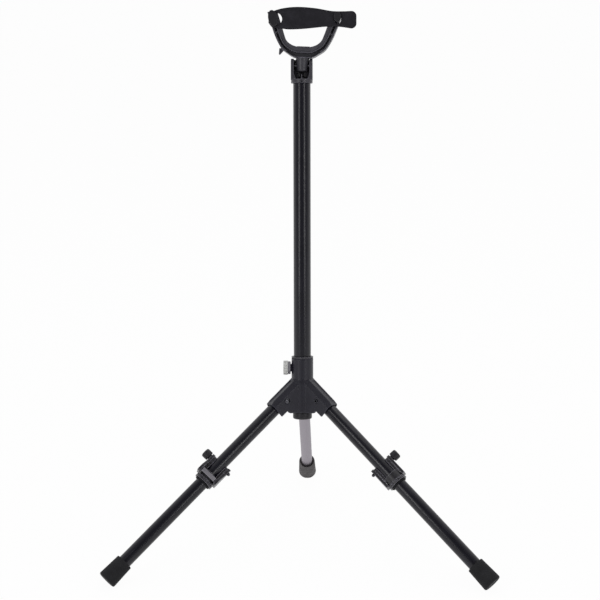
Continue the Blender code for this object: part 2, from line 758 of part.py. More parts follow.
def groove_rib(side):
    """Cross rib in the groove of one prong, between the two flanges."""
    outer = smooth_path(YOKE_OUTER_EDGE, EDGE_STEPS)
    inner = smooth_path(YOKE_INNER_EDGE, EDGE_STEPS)
    index = round(RIB_AT * (len(outer) - 1))
    span = inner[index] - outer[index]
    low = outer[index] + span * OUTER_FLANGE / 2
    high = outer[index] + span * sum(INNER_FLANGE) / 2
    thick = Vector((high.y - low.y, low.x - high.x)).normalized() * RIB_HALF_WIDTH
    outline = [low + thick, high + thick, high - thick, low - thick]
    outline = [(side * point.x, point.y) for point in outline]
    depth = YOKE_HALF_DEPTH - OVERLAP
    return plate(f"yoke_rib_{'right' if side > 0 else 'left'}", [outline], -depth, depth)


def oval(centre, half_width, half_height, lean, steps=24):
    points = []
    for step in range(steps):
        angle = 2 * math.pi * step / steps
        x = half_width * math.cos(angle)
        y = half_height * math.sin(angle)
        points.append((
            centre[0] + x * math.cos(lean) - y * math.sin(lean),
            centre[1] + x * math.sin(lean) + y * math.cos(lean),
        ))
    return points


def build_yoke(slider):
    pivot = make_empty("yoke_pivot", slider, (0, 0, YOKE_PIVOT_HEIGHT))
    cant = make_empty("yoke_cant", pivot, (YOKE_OFFSET, 0, 0), (0, YOKE_CANT, 0))
    half = YOKE_HALF_DEPTH
    web = WEB_HALF_DEPTH
    near, far = INNER_FLANGE
    flange = OUTER_FLANGE
    section = [
        (0, -half), (flange, -half), (flange, -web), (near, -web), (near, -half), (far, -half),
        (far, half), (near, half), (near, web), (flange, web), (flange, half), (0, half),
    ]
    frame = place(yoke_band("yoke_frame", section), cant, material="yoke_plastic")
    for side in (-1, 1):
        add(frame, place(groove_rib(side), cant))
    stem_top = YOKE_OUTER_EDGE[0][1] + OVERLAP
    foot = arc((STEM_FOOT_RADIUS - STEM_ROUND, STEM_FOOT + STEM_ROUND), STEM_ROUND, 0, -90, 3)
    stem_profile = [
        (0, stem_top), (STEM_TOP_RADIUS, stem_top), (STEM_TOP_RADIUS, stem_top - STEM_SHOULDER), *foot,
        (0, STEM_FOOT),
    ]
    add(frame, place(turned("yoke_stem", stem_profile), cant, (STEM_SHIFT, 0, 0)))
    ends = 2 * STEM_TOP_RADIUS
    pin_hole = cylinder("stem_pin_cutter", YOKE_PIN_RADIUS + GAP, -ends, ends, 20, "X")
    cut(frame, place(pin_hole, pivot))
    add(frame, place(plate("yoke_lug", [LUG_OUTLINE], *LUG_DEPTH), cant))
    for name, peg, size, lean in (
        ("left", LEFT_PEG, LEFT_HEAD_SIZE, HEAD_LEAN),
        ("right", RIGHT_PEG, RIGHT_HEAD_SIZE, 0),
    ):
        head_back = -half - STRAP_STANDOFF - STRAP_THICK - 2 * GAP
        head_front = head_back - PEG_HEAD_THICK
        post = cylinder(f"{name}_peg", PEG_RADIUS, head_back - OVERLAP, 0, 24, "Y")
        head = plate(f"{name}_peg_head", [oval(peg, *size, lean)], head_front, head_back)
        bevel(head, EDGE, 1)
        add(frame, place(post, cant, (peg[0], 0, peg[1])), place(head, cant))
    build_liner(cant)
    pin_end = CLEVIS_HALF_WIDTH - GAP
    pin = cylinder("yoke_pivot_pin", YOKE_PIN_RADIUS, -pin_end, pin_end, 20, "X")
    place(pin, slider, (0, 0, YOKE_PIVOT_HEIGHT), material="black_steel")
    build_strap(pivot)


def build_liner(cant):
    """Rubber lining of the U, with a raised saddle let into its foot."""
    half = LINER_HALF_DEPTH
    near, far = LINER_SHARE
    section = [(near, -half), (far, -half), (far, half), (near, half)]
    liner = place(yoke_band("yoke_liner", section), cant, material="liner_rubber")
    surface = YOKE_INNER_EDGE[0][1]
    seat = surface - SADDLE_THICK
    wide = SADDLE_HALF_WIDTH
    deep = SADDLE_HALF_DEPTH
    pocket = box(
        "saddle_pocket_cutter",
        (-wide - GAP, -deep - GAP, seat - GAP), (wide + GAP, deep + GAP, surface + SADDLE_THICK),
    )
    cut(liner, place(pocket, cant))
    saddle = box("yoke_saddle", (-wide, -deep, seat), (wide, deep, surface + SADDLE_PROUD))
    bevel(saddle, EDGE)
    place(saddle, cant, material="strap_rubber")


def build_strap(pivot):
    """Rubber strap from peg to peg, in front of the prongs, turning on the left peg."""
    left = cant_point(LEFT_PEG)
    right = cant_point(RIGHT_PEG)
    strap_pivot = make_empty("strap_pivot", pivot, (left.x, 0, left.y))
    back = -YOKE_HALF_DEPTH - STRAP_STANDOFF
    reach = right - left
    left_hole = circle(LEFT_HOLE_SHIFT, LEFT_HOLE_RADIUS, 24)
    right_hole = oval(
        (reach.x + RIGHT_HOLE_SHIFT[0], reach.y + RIGHT_HOLE_SHIFT[1]), *RIGHT_HOLE_SIZE, 0
    )
    tip_x = STRAP_TOP[-1][0]
    top_corner = arc((tip_x, STRAP_TOP[-1][1] - STRAP_END_ROUND), STRAP_END_ROUND, 90, 0, 5)
    foot_corner = arc((tip_x, STRAP_BOTTOM[0][1] + STRAP_END_ROUND), STRAP_END_ROUND, 0, -90, 5)
    edge = smooth_path(STRAP_TOP, 3)[:-1] + top_corner + foot_corner + smooth_path(STRAP_BOTTOM, 3)[1:]
    strap = plate("neck_strap", [edge, left_hole, right_hole], back - STRAP_THICK, back)
    place(strap, strap_pivot, material="strap_rubber")


def cant_point(point):
    """A place on the askew U, across and up from the yoke pivot."""
    across = YOKE_OFFSET + point[0] * math.cos(YOKE_CANT) + point[1] * math.sin(YOKE_CANT)
    up = point[1] * math.cos(YOKE_CANT) - point[0] * math.sin(YOKE_CANT)
    return Vector((across, up))


def build_leg(axis, name, turn, length):
    """One leg on its own empty, whose X is the pivot axis and whose Z runs up the leg."""
    heading = (LEG_ANGLE, 0, turn - REAR_TURN)
    pivot = make_empty(f"{name}_leg_pivot", axis, leg_pivot_place(turn), heading)
    rear = name == "rear"
    radius = REAR_LEG_RADIUS if rear else LEG_RADIUS
    wall = REAR_LEG_WALL if rear else LEG_WALL
    tube_top = -KNUCKLE_NECK - GAP
    tube_end = CAP_FLOOR + GAP - length
    tube = turned(f"{name}_leg_tube", tube_profile(radius, radius - wall, tube_end, tube_top), True)
    place(tube, pivot, material="silver_tube" if rear else "black_paint")
    build_knuckle(pivot, name, radius, wall)
    build_pivot_bolt(axis, name, turn)
    build_foot_cap(pivot, name, radius, length)
    return pivot


def build_knuckle(pivot, name, tube_radius, tube_wall):
    """Plastic fitting in the leg's top end, bored for the pivot bolt."""
    half_width = slot_half_width() - SWING_GAP
    shoulder = half_width - KNUCKLE_CHAMFER
    face = knuckle_radius() - KNUCKLE_CHAMFER
    barrel = [
        (0, half_width), (face, half_width), (knuckle_radius(), shoulder),
        (knuckle_radius(), -shoulder), (face, -half_width), (0, -half_width),
    ]
    fitting = turned(f"{name}_leg_knuckle", barrel)
    place(fitting, pivot, rotation=(0, math.pi / 2, 0), material="hub_plastic")
    plug = tube_radius - tube_wall - GAP
    neck = LEG_RADIUS - KNUCKLE_NECK_INSET
    foot = -KNUCKLE_NECK - KNUCKLE_PLUG
    profile = [(0, 0), (neck, 0), (neck, -KNUCKLE_NECK), (plug, -KNUCKLE_NECK), (plug, foot), (0, foot)]
    add(fitting, place(turned(f"{name}_knuckle_plug", profile), pivot))
    if tube_radius < LEG_RADIUS:
        sleeve_foot = -KNUCKLE_NECK - REAR_SOCKET
        sleeve_profile = tube_profile(LEG_RADIUS, tube_radius + GAP, sleeve_foot, -KNUCKLE_NECK / 2)
        add(fitting, place(turned(f"{name}_knuckle_sleeve", sleeve_profile, True), pivot))
    ends = 2 * half_width
    bore = cylinder(f"{name}_knuckle_cutter", PIN_RADIUS + GAP, -ends, ends, 20, "X")
    cut(fitting, place(bore, pivot))


def build_pivot_bolt(axis, name, turn):
    """Bolt through both cheeks, with a sunk head at one end and a hollow end at the other."""
    outside = slot_half_width() + CHEEK_WALL
    head_foot = outside - PIN_SINK + GAP
    head_top = head_foot + PIN_HEAD
    eye_end = -outside - PIN_SINK
    profile = [
        (0, head_top), (PIN_HEAD_RADIUS - EDGE, head_top), (PIN_HEAD_RADIUS, head_top - EDGE),
        (PIN_HEAD_RADIUS, head_foot), (PIN_RADIUS, head_foot), (PIN_RADIUS, eye_end),
        (PIN_EYE_RADIUS, eye_end), (PIN_EYE_RADIUS, eye_end + PIN_EYE_DEPTH),
        (0, eye_end + PIN_EYE_DEPTH),
    ]
    bolt = turned(f"{name}_pivot_bolt", profile, segments=20)
    place(bolt, axis, leg_pivot_place(turn), (0, -math.pi / 2, turn - REAR_TURN), "black_steel")


def build_foot_cap(pivot, name, tube_radius, length):
    """Rubber cap over the tube's end, cut flat where it meets the floor."""
    mouth = CAP_LENGTH - length
    foot = -length
    bore = tube_radius + GAP
    bore_end = foot + CAP_FLOOR
    rounding = arc((CAP_RADIUS - CAP_ROUND, foot + CAP_ROUND), CAP_ROUND, 0, -90, 3)
    profile = [
        (CAP_MOUTH_RADIUS - CAP_LIP, mouth), (CAP_MOUTH_RADIUS, mouth - CAP_LIP), *rounding, (0, foot),
    ]
    if tube_radius < LEG_RADIUS:
        recess = CAP_MOUTH_RADIUS - CAP_RECESS_LIP
        top = [(bore, mouth - CAP_RECESS), (recess, mouth - CAP_RECESS), (recess, mouth)]
    else:
        top = [(bore, mouth)]
    cap = turned(f"{name}_foot_cap", [(0, bore_end), (bore, bore_end), *top, *profile])
    place(cap, pivot, material="grey_rubber" if name == "rear" else "cap_rubber")
    cut(cap, FLOOR)


def build_clamp(leg, name):
    """Body support that slides on a front leg: a clamp, a notched ring and a swing-out stirrup.
    Both legs have the same one, with its knob outwards, so the right stirrup lies behind its leg."""
    turn = CLAMP_TURN if name == "left" else math.pi - CLAMP_TURN
    slider = make_empty(f"{name}_clamp_slide", leg, (0, 0, -CLAMP_PLACE), (0, 0, turn))
    build_clamp_collar(slider, name)
    build_clamp_ring(slider, name)
    build_support_arm(slider, name)
    build_side_knob(slider, name)


def clamp_face():
    """Distance from the leg's axis to the outside of the clamp that the stirrup swings on."""
    return LEG_RADIUS + GAP + EAR_THICK


def build_clamp_collar(slider, name):
    bore = LEG_RADIUS + GAP
    face = clamp_face()
    outer = face - CLAMP_INSET
    foot = CLAMP_COLLAR_TOP - CLAMP_COLLAR_HEIGHT
    profile = [
        (0, CLAMP_COLLAR_TOP), (outer - EDGE, CLAMP_COLLAR_TOP), (outer, CLAMP_COLLAR_TOP - EDGE),
        (outer, foot), (0, foot),
    ]
    collar = turned(f"{name}_clamp_collar", profile)
    place(collar, slider, material="clamp_plastic")
    root = CLAMP_COLLAR_TOP - CLAMP_COLLAR_HEIGHT / 3
    depth = EAR_HALF_DEPTH
    side_view = [(depth, root), *arc((0, EAR_TOP - depth), depth, 0, 180, 10), (-depth, root)]
    for index, side in enumerate((-1, 1)):
        near, far = sorted((side * bore / 2, side * face))
        ear = plate(f"{name}_clamp_ear_{index}", [side_view], near, far, "YZ")
        add(collar, place(ear, slider))
    hole = cylinder(f"{name}_ear_cutter", BOLT_RADIUS + GAP, -2 * face, 2 * face, 20, "X")
    tube_room = cylinder(f"{name}_tube_cutter", bore, 2 * foot, -foot, 28)
    cut(collar, place(tube_room, slider), place(hole, slider))


def build_clamp_ring(slider, name):
    """Ring under the collar, notched all round its upper edge, with a rubber band below it."""
    bore = LEG_RADIUS + GAP
    top = CLAMP_COLLAR_TOP - CLAMP_COLLAR_HEIGHT - GAP
    foot = top - RING_HEIGHT
    outer = LEG_RADIUS + RING_WALL
    ring = turned(f"{name}_notched_ring", tube_profile(outer, bore, foot, top), True, 36)
    place(ring, slider, material="clamp_plastic")
    deep, wide, tall = NOTCH_SIZE
    for index in range(RING_NOTCHES):
        angle = 2 * math.pi * index / RING_NOTCHES
        notch = box(
            f"{name}_notch_{index}_cutter",
            (outer - deep / 2, -wide / 2, top - tall), (outer + deep, wide / 2, top + tall),
        )
        cut(ring, place(notch, slider, rotation=(0, 0, angle)))
    band_top = foot - GAP
    band = turned(
        f"{name}_ring_band",
        tube_profile(LEG_RADIUS + BAND_WALL, bore, band_top - BAND_HEIGHT, band_top), True,
    )
    place(band, slider, material="cap_rubber")


def build_support_arm(slider, name):
    """Stirrup of two side bars and a crossbar, folded down over the leg at rest."""
    pivot = make_empty(f"{name}_arm_pivot", slider)
    inside = clamp_face() + GAP
    depth = ARM_HALF_DEPTH
    pad_front = CROSSBAR_FRONT + GAP + ARM_PAD_THICK
    side_view = [
        (-depth, ARM_FOOT), *arc((0, 0), ARM_HEAD, 215, -35, 12),
        (pad_front, CROSSBAR_TOP + ARM_NOSE), (pad_front, CROSSBAR_FOOT - ARM_NOSE),
        (CROSSBAR_BACK, ARM_FOOT),
    ]
    arm = None
    for index, side in enumerate((-1, 1)):
        near, far = sorted((side * inside, side * (inside + ARM_THICK)))
        suffix = "support_arm" if index == 0 else "arm_other_bar"
        bar = plate(f"{name}_{suffix}", [side_view], near, far, "YZ")
        bevel(bar, EDGE, 1)
        if arm is None:
            arm = place(bar, pivot, material="clamp_plastic")
        else:
            add(arm, place(bar, pivot))
    overlap = inside + ARM_THICK / 2
    crossbar = box(
        f"{name}_crossbar",
        (-overlap, CROSSBAR_BACK, CROSSBAR_FOOT), (overlap, CROSSBAR_FRONT, CROSSBAR_TOP),
    )
    add(arm, place(crossbar, pivot))
    ends = inside + 2 * ARM_THICK
    hole = cylinder(f"{name}_arm_cutter", BOLT_RADIUS + GAP, -ends, ends, 20, "X")
    cut(arm, place(hole, pivot))
    pad_end = inside - ARM_PAD_INSET
    pad_back = CROSSBAR_FRONT + GAP
    pad = box(
        f"{name}_arm_pad",
        (-pad_end, pad_back, CROSSBAR_FOOT), (pad_end, pad_back + ARM_PAD_THICK, CROSSBAR_TOP),
    )
    bevel(pad, EDGE)
    place(pad, pivot, material="skirt_grey")
    stud_start = LEG_RADIUS + GAP
    stud_end = inside + ARM_THICK + PIVOT_BALL_STAND
    ball = arc((0, stud_end), PIVOT_BALL_RADIUS, 90, -30, 6)
    stud_profile = [*ball, (PIVOT_STUD_RADIUS, stud_start), (0, stud_start)]
    stud = turned(f"{name}_pivot_stud", stud_profile, segments=20)
    place(stud, slider, rotation=(0, -math.pi / 2, 0), material="black_steel")


def build_side_knob(slider, name):
    pivot = make_empty(f"{name}_knob_pivot", slider, rotation=(0, math.pi / 2, 0))
    neck_foot = clamp_face() + GAP + ARM_THICK + GAP
    knob_foot = neck_foot + SIDE_KNOB_NECK
    knob_top = knob_foot + SIDE_KNOB_LENGTH
    bolt_end = knob_foot + SIDE_KNOB_LENGTH / 2
    bolt = cylinder(f"{name}_clamp_bolt", BOLT_RADIUS, LEG_RADIUS + GAP, bolt_end, 20)
    place(bolt, pivot, material="black_steel")
    hole = BOLT_RADIUS + GAP
    edge = SIDE_KNOB_EDGE
    profile = [
        (0, knob_top), (SIDE_KNOB_RADIUS - edge, knob_top), (SIDE_KNOB_RADIUS, knob_top - edge),
        (SIDE_KNOB_RADIUS, knob_foot + edge), (SIDE_KNOB_RADIUS - edge, knob_foot),
        (SIDE_KNOB_NECK_RADIUS, knob_foot), (SIDE_KNOB_NECK_RADIUS, neck_foot), (hole, neck_foot),
        (hole, bolt_end + GAP), (0, bolt_end + GAP),
    ]
    knob = turned(f"{name}_clamp_knob", profile, segments=24)
    place(knob, pivot, material="knob_plastic")
    for index in range(SIDE_KNOB_LOBES):
        angle = 2 * math.pi * index / SIDE_KNOB_LOBES
        spot = (SIDE_KNOB_RADIUS * math.cos(angle), SIDE_KNOB_RADIUS * math.sin(angle), 0)
        low, high = knob_foot - OVERLAP, knob_top + OVERLAP
        flute = cylinder(f"{name}_lobe_{index}_cutter", LOBE_RADIUS, low, high, 8)
        cut(knob, place(flute, pivot, spot))


def centre_on_floor(root):
    """Move the whole stand so that its box is centred on the origin."""
    bpy.context.view_layer.update()
    graph = bpy.context.evaluated_depsgraph_get()
    points = []
    for obj in PARTS.objects:
        if obj.type == "MESH":
            shape = obj.evaluated_get(graph)
            points += [shape.matrix_world @ vertex.co for vertex in shape.data.vertices]
    for index in (0, 1):
        values = [point[index] for point in points]
        root.location[index] -= (min(values) + max(values)) / 2


clear_scene()
PARTS = make_collection("guitar_stand")
HELPERS = make_collection("cutters")
MATERIALS = {name: make_material(name) for name in COLOURS}
FLOOR = place(
    box("floor_cutter", (-FLOOR_SPAN, -FLOOR_SPAN, -FLOOR_SPAN), (FLOOR_SPAN, FLOOR_SPAN, 0)), None
)


def build_stand():
    root = make_empty("stand_root")
    axis = make_empty("stand_axis", root, (0, 0, hub_height()), (-LEAN, 0, 0))
    build_hub(axis)
    build_bush(axis)
    build_height_knob(axis)
    slider = build_column(axis)
    build_clevis(slider)
    build_yoke(slider)
    for name, turn in FRONT_TURNS.items():
        leg = build_leg(axis, name, turn, FRONT_LEG_LENGTH)
        build_clamp(leg, name)
    build_leg(axis, "rear", REAR_TURN, rear_leg_length())
    centre_on_floor(root)


build_stand()
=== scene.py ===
"""Dresses the folding guitar stand: every piece of its frame gets its finished shape and surface.

Sizes are in metres, and each piece is shaped in the frame of what carries it (the leaning stand,
a leg, a clamp, a knob or the yoke) and then set in place in its mesh.
"""

import math

import bmesh
import bpy
from mathutils import Matrix, Vector


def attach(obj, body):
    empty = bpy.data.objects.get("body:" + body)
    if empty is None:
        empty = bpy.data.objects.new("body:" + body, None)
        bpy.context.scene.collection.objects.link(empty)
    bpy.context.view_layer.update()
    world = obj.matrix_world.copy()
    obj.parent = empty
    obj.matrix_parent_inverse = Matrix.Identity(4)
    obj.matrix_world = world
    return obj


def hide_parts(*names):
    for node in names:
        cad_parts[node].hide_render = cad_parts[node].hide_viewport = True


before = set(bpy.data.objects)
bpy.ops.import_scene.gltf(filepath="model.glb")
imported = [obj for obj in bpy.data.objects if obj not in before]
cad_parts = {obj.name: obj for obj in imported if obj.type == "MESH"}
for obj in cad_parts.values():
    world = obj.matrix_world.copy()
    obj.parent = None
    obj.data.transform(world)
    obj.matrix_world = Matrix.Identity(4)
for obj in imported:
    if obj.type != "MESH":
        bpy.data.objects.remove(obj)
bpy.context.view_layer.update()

bl_info = {
    "name": "Guitar Stand",
    "version": (1, 0, 0),
    "blender": (4, 5, 0),
    "location": "View3D > Sidebar > Guitar Stand",
    "description": "Shapes and finishes the pieces of a folding guitar stand on its frame",
    "category": "Add Mesh",
}

# Room between still pieces and between moving ones, overlap of joined shapes, distance at which
# points are welded, and level at which the floor cuts the foot caps
GAP = 0.0003
SWING_GAP = 0.0004
OVERLAP = 0.001
WELD = 0.000002
FOOT_CUT = 0.00002

# Stance of the stand and its legs
HUB_CENTRE = Vector((0, 0.012586, 0.201253))
LEAN = math.radians(12.5)
LEG_ANGLE = math.radians(50)
LEG_TURNS = {"left": math.radians(210), "right": math.radians(330), "rear": math.radians(90)}
PIVOT_RADIUS = 0.031
FRONT_LEG_LENGTH = 0.358

# Column
COLUMN_RADIUS = 0.0125
COLUMN_WALL = 0.0012
COLUMN_TOP = 0.4592
END_CAP_RADIUS = 0.0139
END_CAP_HEIGHT = 0.011
PLUG_DEPTH = 0.016

# Hub
COLLAR_RADIUS = 0.0158
COLLAR_TOP = 0.0593
COLLAR_FOOT = 0.029
BOSS_RADIUS = 0.0185
BOSS_TOP = 0.024
HUB_BOTTOM = -0.0185
BUSH_FLANGE = 0.0024
BUSH_WALL = 0.0012
BUSH_DEPTH = 0.0095
CHEEK_WALL = 0.0032
CHEEK_RISE = 0.0125
CHEEK_DROP = 0.0115
CHEEK_REACH = 0.0212
CHEEK_LIP = 0.009
CHEEK_SHOULDER = 0.0062
RIDGE_TAPER = 0.007
RIDGE_DROP = 0.0015
EAR_OUTER = 0.031
EAR_ROUND = 0.006
SLOT_START = 0.0192
WEB_GROOVE = 0.0012
WEB_GROOVE_WIDTH = 0.009

# Legs
LEG_RADIUS = 0.0095
LEG_WALL = 0.0012
REAR_LEG_RADIUS = 0.0085
REAR_LEG_WALL = 0.001
KNUCKLE_RADIUS = 0.009
KNUCKLE_CHAMFER = 0.003
KNUCKLE_NECK = 0.0102
KNUCKLE_NECK_RADIUS = 0.0092
KNUCKLE_PLUG = 0.02
REAR_SOCKET = 0.016
PIN_RADIUS = 0.0025
PIN_HEAD_RADIUS = 0.0042
PIN_HEAD = 0.0016
PIN_SINK = 0.001
PIN_EYE_RADIUS = 0.0016
PIN_EYE_DEPTH = 0.003
CAP_RADIUS = 0.0138
CAP_MOUTH_RADIUS = 0.0124
CAP_LENGTH = 0.035
CAP_FLOOR = 0.005
CAP_ROUND = 0.003
CAP_RECESS = 0.004
CAP_RECESS_LIP = 0.0015

# Height knob
KNOB_HEIGHT = 0.045
KNOB_BOSS_RADIUS = 0.0055
KNOB_BOSS_LENGTH = 0.0012
KNOB_SKIRT_RADIUS = 0.0093
KNOB_SKIRT_LENGTH = 0.0033
KNOB_GRIP_RADIUS = 0.0103
KNOB_GRIP_LENGTH = 0.0066
SCREW_RADIUS = 0.0025
NUT_RADIUS = 0.004

# Clevis on top of the column
CLEVIS_HALF_WIDTH = 0.0155
CLEVIS_HALF_GAP = 0.0113
CLEVIS_HALF_DEPTH = 0.0095
CLEVIS_BOTTOM = 0.4565
CLEVIS_FLOOR = 0.462
CLEVIS_PLUG = 0.019
CLEVIS_WALL_RADIUS = 0.0125
CLEVIS_WALL_INSET = 0.0004
CLEVIS_WALL_RISE = 0.0085
YOKE_PIVOT_HEIGHT = 0.482
YOKE_PIN_RADIUS = 0.0025
RIB_HALF_WIDTH = 0.0006
RIB_HALF_DEPTH = 0.007
RIB_TOP = 0.4685
FIX_SCREW_RADIUS = 0.0015
FIX_SCREW_HEAD = 0.0008

# Yoke, as half outlines from the middle of the U's foot to the tip of a prong
YOKE_CANT = math.radians(2.5)
YOKE_OFFSET = 0.0016
YOKE_HALF_DEPTH = 0.0105
YOKE_OUTER_EDGE = (
    (0, 0.0104), (0.0127, 0.0106), (0.0226, 0.0158), (0.0323, 0.0235),
    (0.0407, 0.038), (0.047, 0.054), (0.0535, 0.0725),
)
YOKE_INNER_EDGE = (
    (0, 0.0252), (0.0095, 0.0254), (0.0185, 0.0285), (0.025, 0.0342),
    (0.0288, 0.043), (0.0327, 0.0545), (0.0398, 0.0745),
)
OUTER_FLANGE = 0.2
FOOT_FLANGE = 0.05
FOOT_FLANGE_TOP = 0.0195
INNER_FLANGE = (0.45, 0.62)
LINER_SHARE = (0.622, 1.0)
WEB_HALF_DEPTH = 0.0015
LINER_HALF_DEPTH = 0.0112
RIB_AT = 0.72
STEM_SHIFT = -0.0009
STEM_TOP_RADIUS = 0.0096
STEM_FOOT_RADIUS = 0.0076
STEM_FOOT = -0.009
STEM_SHOULDER = 0.004
STEM_ROUND = 0.002
LUG_OUTLINE = ((-0.0265, 0.0225), (-0.035, 0.0235), (-0.0354, 0.0146), (-0.0338, 0.0138))
LUG_DEPTH = (0.002, 0.006)
SADDLE_HALF_WIDTH = 0.0092
SADDLE_HALF_DEPTH = 0.0085
SADDLE_THICK = 0.003
SADDLE_PROUD = 0.0009

# Strap pegs and strap
LEFT_PEG = (-0.0449, 0.0631)
RIGHT_PEG = (0.0467, 0.0686)
PEG_RADIUS = 0.0036
STRAP_STANDOFF = 0.0011
PEG_HEAD_THICK = 0.0026
LEFT_HEAD_SIZE = (0.0066, 0.0118)
RIGHT_HEAD_SIZE = (0.0052, 0.0072)
HEAD_LEAN = math.radians(14)
LEFT_HOLE_RADIUS = 0.0088
LEFT_HOLE_SHIFT = (0.0042, -0.0008)
RIGHT_HOLE_SIZE = (0.0051, 0.007)
RIGHT_HOLE_SHIFT = (0.0003, -0.0026)
STRAP_TOP = (
    (-0.0063, 0.0045), (0.0001, 0.0102), (0.0151, 0.0145), (0.0351, 0.0161),
    (0.06, 0.0142), (0.083, 0.0101), (0.0999, 0.0095), (0.1116, 0.0099),
)
STRAP_BOTTOM = (
    (0.1118, -0.0147), (0.0929, -0.0121), (0.075, -0.012), (0.045, -0.0147),
    (0.0231, -0.0155), (0.0121, -0.0141), (-0.0005, -0.0125), (-0.0063, -0.0062),
)
STRAP_END_ROUND = 0.0072

# Body supports, measured from the bolt that crosses the leg
CLAMP_PLACE = 0.135
CLAMP_TURN = math.radians(60)
CLAMP_COLLAR_TOP = -0.017
CLAMP_COLLAR_HEIGHT = 0.0112
CLAMP_INSET = 0.0002
EAR_THICK = 0.0028
EAR_HALF_DEPTH = 0.0052
EAR_TOP = 0.0056
RING_WALL = 0.0048
RING_HEIGHT = 0.0048
BAND_WALL = 0.0026
BAND_HEIGHT = 0.0016
ARM_THICK = 0.0042
ARM_HALF_DEPTH = 0.0054
ARM_HEAD = 0.0066
ARM_FOOT = -0.0276
CROSSBAR_BACK = 0.0142
CROSSBAR_FRONT = 0.0164
CROSSBAR_TOP = -0.0195
CROSSBAR_FOOT = -0.0251
ARM_PAD_THICK = 0.0015
ARM_PAD_INSET = 0.0015
ARM_NOSE = 0.0012
BOLT_RADIUS = 0.0025
SIDE_KNOB_RADIUS = 0.0069
SIDE_KNOB_LENGTH = 0.01
SIDE_KNOB_NECK = 0.0012
SIDE_KNOB_NECK_RADIUS = 0.0042
PIVOT_STUD_RADIUS = 0.002
PIVOT_BALL_RADIUS = 0.0024
PIVOT_BALL_STAND = 0.0014

# Camera of the photograph, and the stage with its lights: name, place, size and watts
CAMERA_TARGET = Vector((-0.002, 0.012577, 0.3517))
CAMERA_ELEVATION = math.radians(17.156)
CAMERA_TURN = math.radians(-2.345)
CAMERA_ROLL = math.radians(-0.629)
CAMERA_DISTANCE = 1.9669
CAMERA_LENS_MM = 82.466
SENSOR_MM = 36
CLIP_START = 0.1
FLOOR_HALF = 20
FLOOR_GLOW = 0.96
WORLD_STRENGTH = 0.6
ROOM_GLOW = 0.1
LIGHTS = (
    ("key_strip", (-1.5, -1.9, 1.2), (0.35, 1.6), 12),
    ("fill_strip", (1.5, -1.9, 1.2), (0.35, 1.6), 10),
    ("top_light", (0.2, 0.6, 2.4), (1.5, 1.5), 10),
)

# Fineness of the meshes: angle from which an edge stays sharp, share of a side that a rounded
# corner may take up, smoothing passes, points on each stretch of a curve, and for each kind of
# moulding its voxel size and the share of its faces that is kept
CREASE_DEGREES = 35
CORNER_SHARE = 0.45
SOFTEN_STEPS = 4
YOKE_CURVE_STEPS = 8
STRAP_CURVE_STEPS = 10
HUB_SKIN = (0.0005, 0.45)
FORK_SKIN = (0.0004, 0.4)
LINING_SKIN = (0.00035, 0.35)
FITTING_SKIN = (0.0003, 0.35)
SADDLE_SKIN = (0.00025, 0.5)
RING_SKIN = (0.00025, 0.4)
KNOB_SKIN = (0.0002, 0.35)
ARM_PAD_SKIN = (0.0002, 0.5)
WRAP_MAP = "Wrap"

# Turns that point a piece's own Z axis to the left or the right
POINT_LEFT = Matrix.Rotation(-math.pi / 2, 4, "Y")
POINT_RIGHT = Matrix.Rotation(math.pi / 2, 4, "Y")


def linear(code):
    """The linear colour of an sRGB hex value."""
    channels = [int(code[start:start + 2], 16) / 255 for start in (1, 3, 5)]
    return tuple(c / 12.92 if c <= 0.04045 else ((c + 0.055) / 1.055) ** 2.4 for c in channels)


# Frames of the moving pieces at rest

def raised(height):
    return Matrix.Translation((0, 0, height))


def stand_frame():
    return Matrix.Translation(HUB_CENTRE) @ Matrix.Rotation(-LEAN, 4, "X")


def leg_turn(turn):
    return Matrix.Rotation(turn - LEG_TURNS["rear"], 4, "Z")


def pivot_shift(turn):
    return Matrix.Translation(PIVOT_RADIUS * Vector((math.cos(turn), math.sin(turn), 0)))


def leg_heading(name):
    turn = LEG_TURNS[name]
    return stand_frame() @ pivot_shift(turn) @ leg_turn(turn)


def leg_frame(name):
    return leg_heading(name) @ Matrix.Rotation(LEG_ANGLE, 4, "X")


def leg_length(name):
    """Distance from a leg's pivot to the end of its cap, which the floor cuts off."""
    return FRONT_LEG_LENGTH if name != "rear" else rear_leg_length()


def leg_fall(place):
    """Share of a leg's length by which it drops to the floor."""
    return (place.to_3x3() @ Vector((0, 0, 1))).z


def foot_height(place):
    """Height of the middle of a cap's end face above the floor."""
    fall = leg_fall(place)
    slope = math.sqrt(1 - fall**2)
    return (CAP_RADIUS - CAP_ROUND) * slope + CAP_ROUND * (1 - fall)


def rear_leg_length():
    front = leg_frame("left")
    rear = leg_frame("rear")
    cut_away = front.translation.z - leg_fall(front) * FRONT_LEG_LENGTH - foot_height(front)
    return (rear.translation.z - cut_away - foot_height(rear)) / leg_fall(rear)


def leg_tube(name):
    """Outer and inner radius of a leg's tube."""
    if name == "rear":
        return REAR_LEG_RADIUS, REAR_LEG_RADIUS - REAR_LEG_WALL
    return LEG_RADIUS, LEG_RADIUS - LEG_WALL


def clamp_frame(name):
    """Both legs have the same clamp, turned so that its knob points outwards."""
    turn = CLAMP_TURN if name == "left" else math.pi - CLAMP_TURN
    return leg_frame(name) @ raised(-CLAMP_PLACE) @ Matrix.Rotation(turn, 4, "Z")


def side_knob_frame(name):
    return clamp_frame(name) @ POINT_RIGHT


def height_knob_frame():
    return stand_frame() @ raised(KNOB_HEIGHT) @ POINT_LEFT


def yoke_frame():
    pivot = stand_frame() @ raised(YOKE_PIVOT_HEIGHT)
    return pivot @ Matrix.Translation((YOKE_OFFSET, 0, 0)) @ Matrix.Rotation(YOKE_CANT, 4, "Y")


